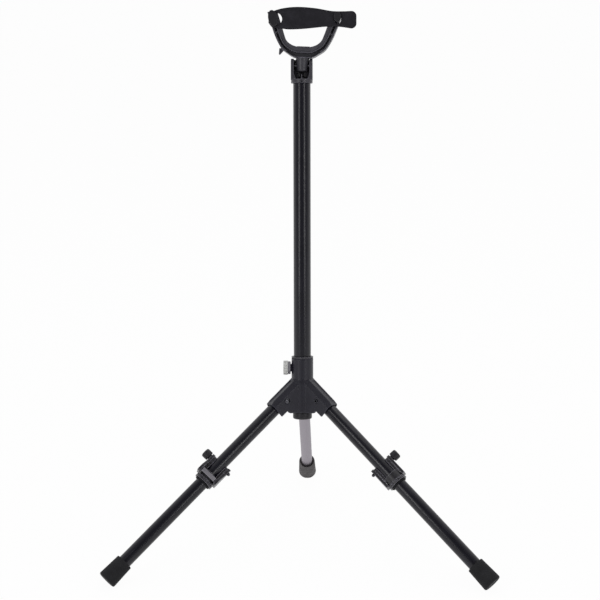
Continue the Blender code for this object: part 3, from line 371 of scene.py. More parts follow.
def cant_point(point):
    """A place on the askew U, across and up from the yoke's pivot."""
    across = YOKE_OFFSET + point[0] * math.cos(YOKE_CANT) + point[1] * math.sin(YOKE_CANT)
    up = point[1] * math.cos(YOKE_CANT) - point[0] * math.sin(YOKE_CANT)
    return Vector((across, up))


def strap_frame():
    left = cant_point(LEFT_PEG)
    return stand_frame() @ Matrix.Translation((left.x, 0, YOKE_PIVOT_HEIGHT + left.y))


# Outlines

def arc(centre, radius, start, end, steps):
    """Points on a circle from the start angle to the end angle, both in degrees."""
    points = []
    for step in range(steps + 1):
        angle = math.radians(start + (end - start) * step / steps)
        points.append((centre[0] + radius * math.cos(angle), centre[1] + radius * math.sin(angle)))
    return points


def oval(centre, half_width, half_height, lean=0, steps=48):
    points = []
    for step in range(steps):
        angle = 2 * math.pi * step / steps
        x = half_width * math.cos(angle)
        y = half_height * math.sin(angle)
        points.append((
            centre[0] + x * math.cos(lean) - y * math.sin(lean),
            centre[1] + x * math.sin(lean) + y * math.cos(lean),
        ))
    return points


def smooth_path(points, steps):
    """Catmull-Rom curve through the points, with steps points on each stretch."""
    knots = [Vector(point) for point in points]
    ends = [2 * knots[0] - knots[1]] + knots + [2 * knots[-1] - knots[-2]]
    path = []
    for a, b, c, d in zip(ends, ends[1:], ends[2:], ends[3:]):
        for step in range(steps):
            t = step / steps
            path.append(
                0.5 * (2 * b + (c - a) * t + (2 * a - 5 * b + 4 * c - d) * t**2
                       + (3 * b - a - 3 * c + d) * t**3)
            )
    path.append(knots[-1])
    return path


def eased(profile, radius, ring=False, steps=4):
    """The profile with its corners off the axis rounded to the radius, or less on short sides."""
    points = [Vector(point) for point in profile]
    count = len(points)
    result = []
    for index, point in enumerate(points):
        at_end = index in (0, count - 1)
        if point.x < GAP or (at_end and not ring):
            result.append(point)
            continue
        before = points[index - 1] - point
        after = points[(index + 1) % count] - point
        reach = min(radius, before.length * CORNER_SHARE, after.length * CORNER_SHARE)
        start = point + before.normalized() * reach
        end = point + after.normalized() * reach
        for step in range(steps + 1):
            t = step / steps
            result.append(start * (1 - t) ** 2 + 2 * point * t * (1 - t) + end * t**2)
    return result


# Mesh helpers

def link(obj):
    bpy.context.scene.collection.objects.link(obj)
    return obj


def smooth(obj, angle=CREASE_DEGREES):
    obj.data.shade_smooth()
    obj.data.set_sharp_from_angle(angle=math.radians(angle))
    return obj


def baked(obj):
    """The object with its modifiers applied, as a welded mesh whose faces point outwards."""
    bpy.context.view_layer.update()
    graph = bpy.context.evaluated_depsgraph_get()
    mesh = bpy.data.meshes.new_from_object(obj.evaluated_get(graph))
    result = bpy.data.objects.new(obj.name, mesh)
    helpers = [m.object for m in obj.modifiers if m.type == "BOOLEAN"]
    for spent in (obj, *helpers):
        bpy.data.objects.remove(spent)
    bm = bmesh.new()
    bm.from_mesh(mesh)
    bmesh.ops.remove_doubles(bm, verts=bm.verts, dist=WELD)
    bmesh.ops.recalc_face_normals(bm, faces=bm.faces)
    bm.to_mesh(mesh)
    bm.free()
    return link(smooth(result))


def mesh_object(name, bm):
    mesh = bpy.data.meshes.new(name)
    bm.to_mesh(mesh)
    bm.free()
    return link(bpy.data.objects.new(name, mesh))


def box(name, low, high):
    bm = bmesh.new()
    bmesh.ops.create_cube(bm, size=1)
    bmesh.ops.scale(bm, verts=bm.verts, vec=[b - a for a, b in zip(low, high)])
    bmesh.ops.translate(bm, verts=bm.verts, vec=[(a + b) / 2 for a, b in zip(low, high)])
    return mesh_object(name, bm)


def rod(name, radius, bottom, top, axis="Z", segments=48):
    """Solid cylinder along one axis."""
    bm = bmesh.new()
    bmesh.ops.create_cone(
        bm, cap_ends=True, radius1=radius, radius2=radius, depth=top - bottom, segments=segments
    )
    bmesh.ops.translate(bm, verts=bm.verts, vec=(0, 0, (top + bottom) / 2))
    if axis != "Z":
        target = Vector((1, 0, 0)) if axis == "X" else Vector((0, 1, 0))
        turn = Vector((0, 0, 1)).rotation_difference(target).to_matrix()
        bmesh.ops.rotate(bm, verts=bm.verts, cent=(0, 0, 0), matrix=turn)
    return mesh_object(name, bm)


def plate(name, outlines, low, high, plane="XZ", edge=0):
    """Flat plate with the given closed outlines, the first its rim and the others its holes. It
    fills from low to high along the axis that its plane leaves out. Its rims are rounded by
    edge."""
    curve = bpy.data.curves.new(name, "CURVE")
    curve.dimensions = "2D"
    curve.fill_mode = "BOTH"
    curve.extrude = (high - low) / 2 - edge
    curve.bevel_depth = edge
    curve.bevel_resolution = 3
    curve.offset = -edge
    for outline in outlines:
        spline = curve.splines.new("POLY")
        spline.points.add(len(outline) - 1)
        for point, (across, up) in zip(spline.points, outline):
            point.co = (across, up, 0, 1)
        spline.use_cyclic_u = True
    obj = baked(link(bpy.data.objects.new(name, curve)))
    middle = (low + high) / 2
    for vertex in obj.data.vertices:
        across, up, out = vertex.co
        vertex.co = (across, middle - out, up) if plane == "XZ" else (middle + out, across, up)
    return obj


def side_plates(name, side_view, near, far):
    """The same plate on the left and on the right, each from near to far off the middle."""
    return [
        plate(name, [side_view], *sorted((side * near, side * far)), "YZ") for side in (-1, 1)
    ]


def moved(obj, matrix):
    obj.data.transform(matrix)
    return obj


def combine(target, others, operation):
    for other in others:
        modifier = target.modifiers.new(operation.title(), "BOOLEAN")
        modifier.operation = operation
        modifier.object = other
        modifier.solver = "EXACT"
        other.hide_render = True


def moulded(obj, voxel, keep):
    """The solid with the soft edges of an injection moulding: remeshed at the voxel size,
    smoothed, and thinned to the share of its faces that it keeps."""
    solid = baked(obj)
    remesh = solid.modifiers.new("Skin", "REMESH")
    remesh.mode = "VOXEL"
    remesh.voxel_size = voxel
    soften = solid.modifiers.new("Soften", "SMOOTH")
    soften.factor = 0.5
    soften.iterations = SOFTEN_STEPS
    thin = solid.modifiers.new("Thin", "DECIMATE")
    thin.ratio = keep
    return smooth(baked(solid), 180)


def yoke_edges():
    """Points along the U's outer and inner edge, from the middle of its foot to a prong's tip."""
    return [smooth_path(edge, YOKE_CURVE_STEPS) for edge in (YOKE_OUTER_EDGE, YOKE_INNER_EDGE)]


def swept_bar(name, section):
    """Bar that follows the U from tip to tip. Its section is a closed outline of (share, depth)
    pairs, where share 0 is the U's outer edge and share 1 its inner edge."""
    outer, inner = yoke_edges()
    stations = [(a, b, -1) for a, b in zip(outer, inner)][:0:-1]
    stations += [(a, b, 1) for a, b in zip(outer, inner)]
    bm = bmesh.new()
    rings = []
    for a, b, side in stations:
        points = [(a + (b - a) * share, depth) for share, depth in section]
        rings.append([bm.verts.new((side * point.x, depth, point.y)) for point, depth in points])
    for first, second in zip(rings, rings[1:]):
        for index in range(len(section)):
            bm.faces.new((first[index - 1], first[index], second[index], second[index - 1]))
    bm.faces.new(rings[0])
    bm.faces.new(rings[-1][::-1])
    bmesh.ops.recalc_face_normals(bm, faces=bm.faces)
    return mesh_object(name, bm)


# Geometry Nodes

def add_node(tree, kind, inputs=None, **settings):
    """Add one node. Its inputs map a socket's name or number to a value or to the output that
    feeds it, and its settings are the node's own properties."""
    made = tree.nodes.new(kind)
    for name, value in settings.items():
        setattr(made, name, value)
    for key, value in (inputs or {}).items():
        if isinstance(value, bpy.types.NodeSocket):
            tree.links.new(value, made.inputs[key])
        else:
            made.inputs[key].default_value = value
    return made


def new_tree(name, inputs):
    """Geometry Nodes tree with named inputs, and the node that gives them."""
    tree = bpy.data.node_groups.new(name, "GeometryNodeTree")
    tree.is_modifier = True
    for label, kind in inputs:
        tree.interface.new_socket(name=label, in_out="INPUT", socket_type=kind)
    tree.interface.new_socket(name="Piece", in_out="OUTPUT", socket_type="NodeSocketGeometry")
    return tree, add_node(tree, "NodeGroupInput")


def close_tree(tree, geometry, material):
    whole = add_node(tree, "GeometryNodeRealizeInstances", {"Geometry": geometry})
    finish = add_node(
        tree, "GeometryNodeSetMaterial", {"Geometry": whole.outputs[0], "Material": material}
    )
    add_node(tree, "NodeGroupOutput", {"Piece": finish.outputs[0]})
    return tree


def step_angle(tree, step, count):
    """Angle of one step in a full turn of so many."""
    share = add_node(tree, "ShaderNodeMath", {0: step, 1: count}, operation="DIVIDE")
    return add_node(
        tree, "ShaderNodeMath", {0: share.outputs[0], 1: 2 * math.pi}, operation="MULTIPLY"
    ).outputs[0]


def turning_tree():
    """Turns a profile about Z. A profile's points hold (radius, distance along it, height), and
    the faces get a wrap map in metres, round the piece and along the profile."""
    tree, given = new_tree("Turned piece", (
        ("Profile", "NodeSocketGeometry"), ("Segments", "NodeSocketInt"),
        ("Wrap Radius", "NodeSocketFloat"), ("Finish", "NodeSocketMaterial"),
    ))
    profile = given.outputs["Profile"]
    segments = given.outputs["Segments"]
    size = add_node(
        tree, "GeometryNodeAttributeDomainSize", {"Geometry": profile}, component="MESH"
    )
    rows = size.outputs["Point Count"]
    columns = add_node(tree, "ShaderNodeMath", {0: segments, 1: 1}, operation="ADD")
    grid = add_node(tree, "GeometryNodeMeshGrid", {
        "Size X": 1, "Size Y": 1, "Vertices X": columns.outputs[0], "Vertices Y": rows,
    })
    index = add_node(tree, "GeometryNodeInputIndex").outputs[0]
    row = add_node(tree, "ShaderNodeMath", {0: index, 1: rows}, operation="MODULO")
    steps = add_node(tree, "ShaderNodeMath", {0: index, 1: rows}, operation="DIVIDE")
    column = add_node(tree, "ShaderNodeMath", {0: steps.outputs[0]}, operation="FLOOR")
    angle = step_angle(tree, column.outputs[0], segments)
    position = add_node(tree, "GeometryNodeInputPosition").outputs[0]
    sample = add_node(
        tree, "GeometryNodeSampleIndex",
        {"Geometry": profile, "Value": position, "Index": row.outputs[0]},
        data_type="FLOAT_VECTOR", domain="POINT",
    )
    parts = add_node(tree, "ShaderNodeSeparateXYZ", {0: sample.outputs[0]})
    radius, along, height = parts.outputs
    cosine = add_node(tree, "ShaderNodeMath", {0: angle}, operation="COSINE")
    sine = add_node(tree, "ShaderNodeMath", {0: angle}, operation="SINE")
    x = add_node(tree, "ShaderNodeMath", {0: radius, 1: cosine.outputs[0]}, operation="MULTIPLY")
    y = add_node(tree, "ShaderNodeMath", {0: radius, 1: sine.outputs[0]}, operation="MULTIPLY")
    place = add_node(tree, "ShaderNodeCombineXYZ", {0: x.outputs[0], 1: y.outputs[0], 2: height})
    around = add_node(
        tree, "ShaderNodeMath", {0: angle, 1: given.outputs["Wrap Radius"]}, operation="MULTIPLY"
    )
    wrap = add_node(tree, "ShaderNodeCombineXYZ", {0: around.outputs[0], 1: along})
    capture = add_node(tree, "GeometryNodeCaptureAttribute", domain="POINT")
    capture.capture_items.new("VECTOR", "Wrap")
    tree.links.new(grid.outputs["Mesh"], capture.inputs["Geometry"])
    tree.links.new(wrap.outputs[0], capture.inputs["Wrap"])
    mapped = add_node(tree, "GeometryNodeStoreNamedAttribute", {
        "Geometry": capture.outputs["Geometry"], "Name": WRAP_MAP,
        "Value": capture.outputs["Wrap"],
    }, data_type="FLOAT2", domain="CORNER")
    shaped = add_node(
        tree, "GeometryNodeSetPosition",
        {"Geometry": mapped.outputs[0], "Position": place.outputs[0]},
    )
    closed = add_node(
        tree, "GeometryNodeMergeByDistance",
        {"Geometry": shaped.outputs[0], "Distance": WELD},
    )
    return close_tree(tree, closed.outputs[0], given.outputs["Finish"])


def round_cut_tree():
    """Cuts a ring of equal notches, flutes or lobes into a piece, about its Z axis."""
    tree, given = new_tree("Ring of cuts", (
        ("Piece", "NodeSocketGeometry"), ("Cutter", "NodeSocketObject"),
        ("Count", "NodeSocketInt"), ("Finish", "NodeSocketMaterial"),
    ))
    cutter = add_node(
        tree, "GeometryNodeObjectInfo", {"Object": given.outputs["Cutter"]},
        transform_space="ORIGINAL",
    )
    count = given.outputs["Count"]
    points = add_node(tree, "GeometryNodePoints", {"Count": count})
    index = add_node(tree, "GeometryNodeInputIndex").outputs[0]
    turn = add_node(tree, "ShaderNodeCombineXYZ", {2: step_angle(tree, index, count)})
    copies = add_node(tree, "GeometryNodeInstanceOnPoints", {
        "Points": points.outputs[0], "Instance": cutter.outputs["Geometry"],
        "Rotation": turn.outputs[0],
    })
    solid = add_node(tree, "GeometryNodeRealizeInstances", {"Geometry": copies.outputs[0]})
    cut = add_node(
        tree, "GeometryNodeMeshBoolean",
        {"Mesh 1": given.outputs["Piece"], "Mesh 2": solid.outputs[0]},
        operation="DIFFERENCE", solver="EXACT",
    )
    return close_tree(tree, cut.outputs["Mesh"], given.outputs["Finish"])


def with_tree(obj, tree, values):
    """The object's mesh after the tree, with the tree's inputs set by name."""
    modifier = obj.modifiers.new(tree.name, "NODES")
    modifier.node_group = tree
    for item in tree.interface.items_tree:
        if item.item_type == "SOCKET" and item.in_out == "INPUT" and item.name in values:
            modifier[item.identifier] = values[item.name]
    return baked(obj)


def turned(name, profile, finish, ring=False):
    """Piece turned about Z from (radius, height) pairs, which close on themselves in a ring."""
    points = [Vector(point) for point in profile]
    if ring:
        points.append(points[0])
    bm = bmesh.new()
    along = 0
    line = []
    for before, point in zip([points[0]] + points, points):
        along += (point - before).length
        line.append(bm.verts.new((point.x, along, point.y)))
    for pair in zip(line, line[1:]):
        bm.edges.new(pair)
    sizes = bpy.context.scene.stand_sizes
    return with_tree(mesh_object(name, bm), TREES["turning"], {
        "Segments": sizes.round_segments,
        "Wrap Radius": max(point.x for point in points),
        "Finish": MATERIALS[finish],
    })


def shaft(name, radius, low, high, finish, edge=0):
    """Solid turned rod, with its edges rounded."""
    profile = [(0, high), (radius, high), (radius, low), (0, low)]
    return turned(name, eased(profile, edge) if edge else profile, finish)


def sleeve(name, outer, bore, low, high, finish, edge=0):
    """Turned tube or ring, with its edges rounded."""
    profile = [(outer, high), (outer, low), (bore, low), (bore, high)]
    return turned(name, eased(profile, edge, True) if edge else profile, finish, ring=True)


def ring_cut(obj, cutter, count, finish):
    result = with_tree(obj, TREES["round_cut"], {
        "Cutter": cutter, "Count": count, "Finish": MATERIALS[finish],
    })
    bpy.data.objects.remove(cutter)
    return result


def finish_piece(obj, name, place, slot, body, node):
    """Set a finished shape in place, give it its surface, and hang it on its body instead of a
    node of the frame."""
    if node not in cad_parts:
        raise RuntimeError(f"{name} has no frame node {node} to stand for")
    obj.name = name
    obj.data.name = name
    moved(obj, place)
    obj.data.materials.clear()
    obj.data.materials.append(MATERIALS[slot])
    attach(obj, body)
    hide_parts(node)


# Materials

MATERIALS = {}
TREES = {}


def new_surface(name):
    material = bpy.data.materials.new(name)
    material.use_nodes = True
    return material, material.node_tree, material.node_tree.nodes["Principled BSDF"]


def link_patterns(tree, shader, colour, roughness, bump):
    """Feeds a surface's colour, roughness and relief to its shader."""
    tree.links.new(colour, shader.inputs["Base Color"])
    tree.links.new(roughness.outputs[0], shader.inputs["Roughness"])
    tree.links.new(bump.outputs[0], shader.inputs["Normal"])


def mottled(tree, place, scale_mm, low, high, dark, light):
    """A colour that drifts between two tones in patches of the given size."""
    clouds = add_node(tree, "ShaderNodeTexNoise", {
        "Vector": place, "Scale": 1000 / scale_mm, "Detail": 4, "Roughness": 0.6,
    })
    spread = add_node(tree, "ShaderNodeMapRange", {
        "Value": clouds.outputs["Fac"], "From Min": low, "From Max": high,
    })
    tone = add_node(
        tree, "ShaderNodeMix", {0: spread.outputs[0], 6: (*dark, 1), 7: (*light, 1)},
        data_type="RGBA",
    )
    return tone.outputs[2]


def shade(colour, factor):
    return tuple(min(1, channel * factor) for channel in colour)


def powder_coat(colour):
    """Mild steel tube, powder coated in semi-gloss black. It draws soft streaks of light down the
    tube over a fine orange peel, with hair-thin scuffs where clamps and collar slide along it."""
    material, tree, shader = new_surface("Powder-coated steel tube")
    place = add_node(tree, "ShaderNodeTexCoord").outputs["Object"]
    tone = mottled(tree, place, 40, 0.35, 0.65, shade(colour, 0.85), shade(colour, 1.15))
    wrap = add_node(tree, "ShaderNodeUVMap", uv_map=WRAP_MAP).outputs[0]
    # Scuffs 0.5 mm wide and about 40 mm long
    stretch = add_node(tree, "ShaderNodeMapping", {"Vector": wrap, "Scale": (2000, 25, 1)})
    hairs = add_node(tree, "ShaderNodeTexNoise", {
        "Vector": stretch.outputs[0], "Scale": 1, "Detail": 2, "Roughness": 0.5,
    })
    scuff = add_node(tree, "ShaderNodeMapRange", {
        "Value": hairs.outputs["Fac"], "From Min": 0.62, "From Max": 0.74,
    })
    final_tone = add_node(
        tree, "ShaderNodeMix", {0: scuff.outputs[0], 6: tone, 7: (*shade(colour, 2.2), 1)},
        data_type="RGBA",
    )
    rough = add_node(tree, "ShaderNodeMapRange", {
        "Value": scuff.outputs[0], "To Min": 0.27, "To Max": 0.46,
    })
    # Peel cells of real powder are 1 to 2 mm
    peel = add_node(tree, "ShaderNodeTexNoise", {
        "Vector": place, "Scale": 1000 / 1.6, "Detail": 2, "Roughness": 0.4,
    })
    bump = add_node(tree, "ShaderNodeBump", {
        "Strength": 0.35, "Distance": 0.00006, "Height": peel.outputs["Fac"],
    })
    link_patterns(tree, shader, final_tone.outputs[2], rough, bump)
    shader.inputs["Specular IOR Level"].default_value = 0.4
    return material


def plastic(name, colour, roughness, grain_mm=0.3, wear_and_sheen=2.6):
    """Injection-moulded plastic with a spark-eroded grain, faint flow clouds, and edges painted
    lighter by the given factor: partly edge wear, mostly a painted highlight of their shine."""
    material, tree, shader = new_surface(name)
    place = add_node(tree, "ShaderNodeTexCoord").outputs["Object"]
    tone = mottled(tree, place, 9, 0.3, 0.7, shade(colour, 0.88), shade(colour, 1.14))
    # Real edges are rounded 0.5 mm. They are drawn 1.4 mm round, so that their shine shows
    soft = add_node(tree, "ShaderNodeBevel", {"Radius": 0.0014}, samples=6)
    bend = add_node(tree, "ShaderNodeVectorMath", {
        0: soft.outputs[0], 1: add_node(tree, "ShaderNodeNewGeometry").outputs["Normal"],
    }, operation="DOT_PRODUCT")
    # Edges are painted lighter: mostly a painted highlight of the shine rounded edges catch, partly
    # wear
    wear_and_sheen_mask = add_node(tree, "ShaderNodeMapRange", {
        "Value": bend.outputs["Value"], "From Min": 0.99, "From Max": 0.85, "To Max": 0.8,
    })
    final_tone = add_node(
        tree, "ShaderNodeMix", {0: wear_and_sheen_mask.outputs[0], 6: tone, 7: (*shade(colour, wear_and_sheen), 1)},
        data_type="RGBA",
    )
    # An eroded grain is about 0.1 mm. It is drawn three times as coarse, so that it shows
    grain = add_node(tree, "ShaderNodeTexNoise", {
        "Vector": place, "Scale": 1000 / grain_mm, "Detail": 3, "Roughness": 0.7,
    })
    rough = add_node(tree, "ShaderNodeMapRange", {
        "Value": grain.outputs["Fac"], "To Min": roughness - 0.1, "To Max": roughness + 0.1,
    })
    bump = add_node(tree, "ShaderNodeBump", {
        "Strength": 0.4, "Distance": 0.00005, "Height": grain.outputs["Fac"],
        "Normal": soft.outputs[0],
    })
    link_patterns(tree, shader, final_tone.outputs[2], rough, bump)
    shader.inputs["Specular IOR Level"].default_value = 0.4
    return material


def rubber(name, colour, roughness, grain_mm):
    """Moulded elastomer: matt, with a close pebble grain, a dusty bloom in patches and little
    gloss anywhere."""
    material, tree, shader = new_surface(name)
    place = add_node(tree, "ShaderNodeTexCoord").outputs["Object"]
    tone = mottled(tree, place, 14, 0.42, 0.72, colour, shade(colour, 1.5))
    # A blasted mould leaves pebbles of 0.2 mm. They are drawn twice as coarse, so that they show
    grain = add_node(tree, "ShaderNodeTexVoronoi", {
        "Vector": place, "Scale": 1000 / grain_mm, "Randomness": 1,
    })
    pores = add_node(tree, "ShaderNodeTexNoise", {
        "Vector": place, "Scale": 1000 / (3 * grain_mm), "Detail": 4,
    })
    relief = add_node(
        tree, "ShaderNodeMath", {0: grain.outputs["Distance"], 1: pores.outputs["Fac"]},
        operation="MULTIPLY",
    )
    bump = add_node(tree, "ShaderNodeBump", {
        "Strength": 0.5, "Distance": 0.00008, "Height": relief.outputs[0],
    })
    rough = add_node(tree, "ShaderNodeMapRange", {
        "Value": pores.outputs["Fac"], "To Min": roughness - 0.12, "To Max": roughness + 0.1,
    })
    link_patterns(tree, shader, tone, rough, bump)
    shader.inputs["Specular IOR Level"].default_value = 0.15
    return material


def satin_plate(colour):
    """Steel tube with a satin nickel plating over lengthwise polishing lines, which draw long
    soft streaks of light."""
    material, tree, shader = new_surface("Satin-nickel-plated steel tube")
    wrap = add_node(tree, "ShaderNodeUVMap", uv_map=WRAP_MAP).outputs[0]
    # Lines drawn 0.25 mm apart, coarser than the real polish so that they show
    stretch = add_node(tree, "ShaderNodeMapping", {"Vector": wrap, "Scale": (4000, 20, 1)})
    lines = add_node(tree, "ShaderNodeTexNoise", {
        "Vector": stretch.outputs[0], "Scale": 1, "Detail": 3, "Roughness": 0.6,
    })
    tone = add_node(
        tree, "ShaderNodeMix",
        {0: lines.outputs["Fac"], 6: (*shade(colour, 0.86), 1), 7: (*shade(colour, 1.12), 1)},
        data_type="RGBA",
    )
    rough = add_node(tree, "ShaderNodeMapRange", {
        "Value": lines.outputs["Fac"], "To Min": 0.42, "To Max": 0.6,
    })
    bump = add_node(tree, "ShaderNodeBump", {
        "Strength": 0.2, "Distance": 0.00002, "Height": lines.outputs["Fac"],
    })
    link_patterns(tree, shader, tone.outputs[2], rough, bump)
    shader.inputs["Metallic"].default_value = 1
    return material


def turned_metal(name, colour, roughness):
    """Machined fastener metal, with turning rings on its faces and a cloudy plating."""
    material, tree, shader = new_surface(name)
    wrap = add_node(tree, "ShaderNodeUVMap", uv_map=WRAP_MAP).outputs[0]
    # Rings 0.2 mm apart along the profile
    stretch = add_node(tree, "ShaderNodeMapping", {"Vector": wrap, "Scale": (60, 5000, 1)})
    rings = add_node(tree, "ShaderNodeTexNoise", {
        "Vector": stretch.outputs[0], "Scale": 1, "Detail": 2, "Roughness": 0.5,
    })
    place = add_node(tree, "ShaderNodeTexCoord").outputs["Object"]
    tone = mottled(tree, place, 3, 0.35, 0.65, shade(colour, 0.85), shade(colour, 1.08))
    rough = add_node(tree, "ShaderNodeMapRange", {
        "Value": rings.outputs["Fac"], "To Min": roughness - 0.08, "To Max": roughness + 0.1,
    })
    bump = add_node(tree, "ShaderNodeBump", {
        "Strength": 0.25, "Distance": 0.00002, "Height": rings.outputs["Fac"],
    })
    link_patterns(tree, shader, tone, rough, bump)
    shader.inputs["Metallic"].default_value = 1
    return material


def make_materials(colours):
    """One surface for each material slot of the record."""
    MATERIALS.update({
        "black_paint": powder_coat(colours.black_paint),
        # Where a plastic gives an edge factor, its edges are painted that many times lighter:
        # mostly a painted highlight, partly wear
        "hub_plastic": plastic(
            "Moulded ABS, black", colours.hub_plastic, 0.4, grain_mm=0.35, wear_and_sheen=7
        ),
        "clamp_plastic": plastic("Moulded nylon, black", colours.clamp_plastic, 0.34, wear_and_sheen=22),
        "knob_plastic": plastic("Moulded ABS, deep black", colours.knob_plastic, 0.42),
        "grip_grey": plastic("Moulded ABS, light grey", colours.grip_grey, 0.48),
        "skirt_grey": plastic("Moulded ABS, mid grey", colours.skirt_grey, 0.5),
        "yoke_plastic": plastic(
            "Glass-filled nylon, charcoal", colours.yoke_plastic, 0.36, wear_and_sheen=6
        ),
        "silver_tube": satin_plate(colours.silver_tube),
        "black_steel": turned_metal("Black-oxide steel", colours.black_steel, 0.26),
        "brass": turned_metal("Machined brass", colours.brass, 0.28),
        "cap_rubber": rubber("Moulded rubber, black", colours.cap_rubber, 0.7, grain_mm=0.5),
        "grey_rubber": rubber("Moulded rubber, grey", colours.grey_rubber, 0.7, grain_mm=0.5),
        "liner_rubber": rubber(
            "Thermoplastic rubber, grey", colours.liner_rubber, 0.65, grain_mm=0.4
        ),
        "strap_rubber": rubber(
            "Soft rubber strap, black", colours.strap_rubber, 0.6, grain_mm=0.4
        ),
    })


# Sizes and colours that a user may change

def count_property(name, description, default, low, high):
    return bpy.props.IntProperty(
        name=name, description=description, default=default, min=low, max=high
    )


def length_property(name, description, default, low, high):
    return bpy.props.FloatProperty(
        name=name, description=description, default=default, min=low, max=high, unit="LENGTH",
        precision=5,
    )


class StandSizes(bpy.types.PropertyGroup):
    round_segments: count_property("Round Segments", "Sides of a turned piece", 72, 24, 256)
    edge_round: length_property(
        "Edge Round", "Rounding of a turned piece's edges", 0.0006, 0, 0.003
    )
    grip_flutes: count_property("Grip Flutes", "Flutes round the height knob", 12, 3, 48)
    flute_radius: length_property(
        "Flute Radius", "Radius of the height knob's flutes", 0.0012, 0.0003, 0.003
    )
    side_knob_lobes: count_property("Side Knob Lobes", "Hollows round a side knob", 8, 3, 24)
    lobe_radius: length_property(
        "Lobe Radius", "Radius of a side knob's hollows", 0.0008, 0.0003, 0.003
    )
    ring_notches: count_property("Ring Notches", "Notches in a clamp's ring", 12, 3, 36)
    notch_size: bpy.props.FloatVectorProperty(
        name="Notch Size", description="Depth, width and height of a ring's notch",
        default=(0.004, 0.0032, 0.0026), unit="LENGTH", precision=5,
    )
    strap_thickness: length_property(
        "Strap Thickness", "Thickness of the rubber strap", 0.0025, 0.001, 0.004
    )
    strap_edge: length_property("Strap Edge", "Rounding of the strap's edges", 0.0009, 0, 0.0012)


def colour_property(name, description, code):
    return bpy.props.FloatVectorProperty(
        name=name, description=description, subtype="COLOR", default=linear(code), min=0, max=1
    )


class StandColours(bpy.types.PropertyGroup):
    black_paint: colour_property("Black Paint", "Powder coat of the column and legs", "#12111a")
    hub_plastic: colour_property("Hub", "Plastic of the hub and knuckles", "#1d1c26")
    clamp_plastic: colour_property("Clamps", "Plastic of the clamps and stirrups", "#262529")
    knob_plastic: colour_property(
        "Black Knobs", "Plastic of the side knobs, peg heads and column's cap", "#1c1b20"
    )
    grip_grey: colour_property("Knob Grip", "Plastic of the height knob's grip", "#b5b5b3")
    skirt_grey: colour_property(
        "Knob Skirt", "Plastic of the height knob's skirt and the stirrups' pads", "#6e6c72"
    )
    yoke_plastic: colour_property("Yoke", "Plastic of the yoke and bracket", "#3a393f")
    silver_tube: colour_property("Rear Leg", "Plating of the rear leg", "#a09ba2")
    black_steel: colour_property("Bolts", "Black oxide of the bolts", "#55555a")
    brass: colour_property("Insert", "Brass of the screw insert", "#c9a45c")
    cap_rubber: colour_property("Black Rubber", "Rubber of the front foot caps", "#1e1e20")
    grey_rubber: colour_property("Grey Rubber", "Rubber of the rear foot cap", "#585657")
    liner_rubber: colour_property("Liner", "Rubber lining of the yoke", "#3c3b40")
    strap_rubber: colour_property("Strap", "Rubber of the strap and saddle", "#1f1e23")
    floor: colour_property("Floor", "Floor of the stage", "#f4f4f4")


# Column and hub

class STAND_OT_column(bpy.types.Operator):
    """Painted column tube with the moulded cap under it"""
    bl_idname = "guitar_stand.column"
    bl_label = "Column"

    def execute(self, context):
        edge = context.scene.stand_sizes.edge_round
        inner = COLUMN_RADIUS - COLUMN_WALL
        tube = sleeve(
            "tube", COLUMN_RADIUS, inner, HUB_BOTTOM, COLUMN_TOP, "black_paint", edge / 2
        )
        finish_piece(
            tube, "painted_column", stand_frame(), "black_paint", "column", "column_tube"
        )
        shoulder = HUB_BOTTOM - GAP
        foot = shoulder - END_CAP_HEIGHT
        plug = inner - GAP
        plug_top = HUB_BOTTOM + PLUG_DEPTH
        upper = [(0, plug_top), (plug, plug_top), (plug, shoulder)]
        lower = [upper[-1], (END_CAP_RADIUS, shoulder), (END_CAP_RADIUS, foot), (0, foot)]
        cap = turned("cap", eased(upper, edge) + eased(lower, 4 * edge)[1:], "knob_plastic")
        finish_piece(
            cap, "column_foot", stand_frame(), "knob_plastic", "column", "column_end_cap"
        )
        return {"FINISHED"}


def leg_side_view():
    """Side view of a leg, as distance from the column's axis and height: its pivot, the direction
    to its foot and the direction off its top."""
    pivot = Vector((PIVOT_RADIUS, 0))
    along = Vector((math.sin(LEG_ANGLE), -math.cos(LEG_ANGLE)))
    across = Vector((math.cos(LEG_ANGLE), math.sin(LEG_ANGLE)))
    return pivot, along, across


def cheek_outline():
    """Side view of one leg housing, whose ridge sinks a little towards its end."""
    pivot, along, across = leg_side_view()
    ridge = pivot + CHEEK_RISE * across
    inner = COLUMN_RADIUS / 2
    ridge_start = ridge - along * (ridge.x - inner) / along.x
    taper = ridge + (CHEEK_REACH - RIDGE_TAPER) * along
    end_top = ridge + CHEEK_REACH * along - RIDGE_DROP * across
    end_foot = pivot + CHEEK_REACH * along - CHEEK_DROP * across
    lip = end_foot - CHEEK_LIP * along
    ear = arc((EAR_OUTER - EAR_ROUND, HUB_BOTTOM + EAR_ROUND), EAR_ROUND, -20, -90, 8)
    return [ridge_start, taper, end_top, end_foot, lip] + ear + [(inner, HUB_BOTTOM)]


def slot_outline():
    """Room for a leg inside its housing: under the web, and open below and outwards."""
    pivot, along, across = leg_side_view()
    ceiling = pivot + (LEG_RADIUS + GAP) * across
    start = ceiling - along * (ceiling.x - SLOT_START) / along.x
    end = ceiling + 2 * CHEEK_REACH * along
    return [start, end, (end.x, 4 * HUB_BOTTOM), (SLOT_START, 4 * HUB_BOTTOM)]


def groove_outline():
    """Shallow groove along the top of the web, between the two cheeks."""
    pivot, along, across = leg_side_view()
    floor = pivot + (CHEEK_RISE - WEB_GROOVE) * across
    start = floor - along * (floor.x - COLLAR_RADIUS - WEB_GROOVE) / along.x
    end = floor + (CHEEK_REACH + WEB_GROOVE) * along
    above = 2 * CHEEK_RISE * across
    return [start + above, end + above, end, start]


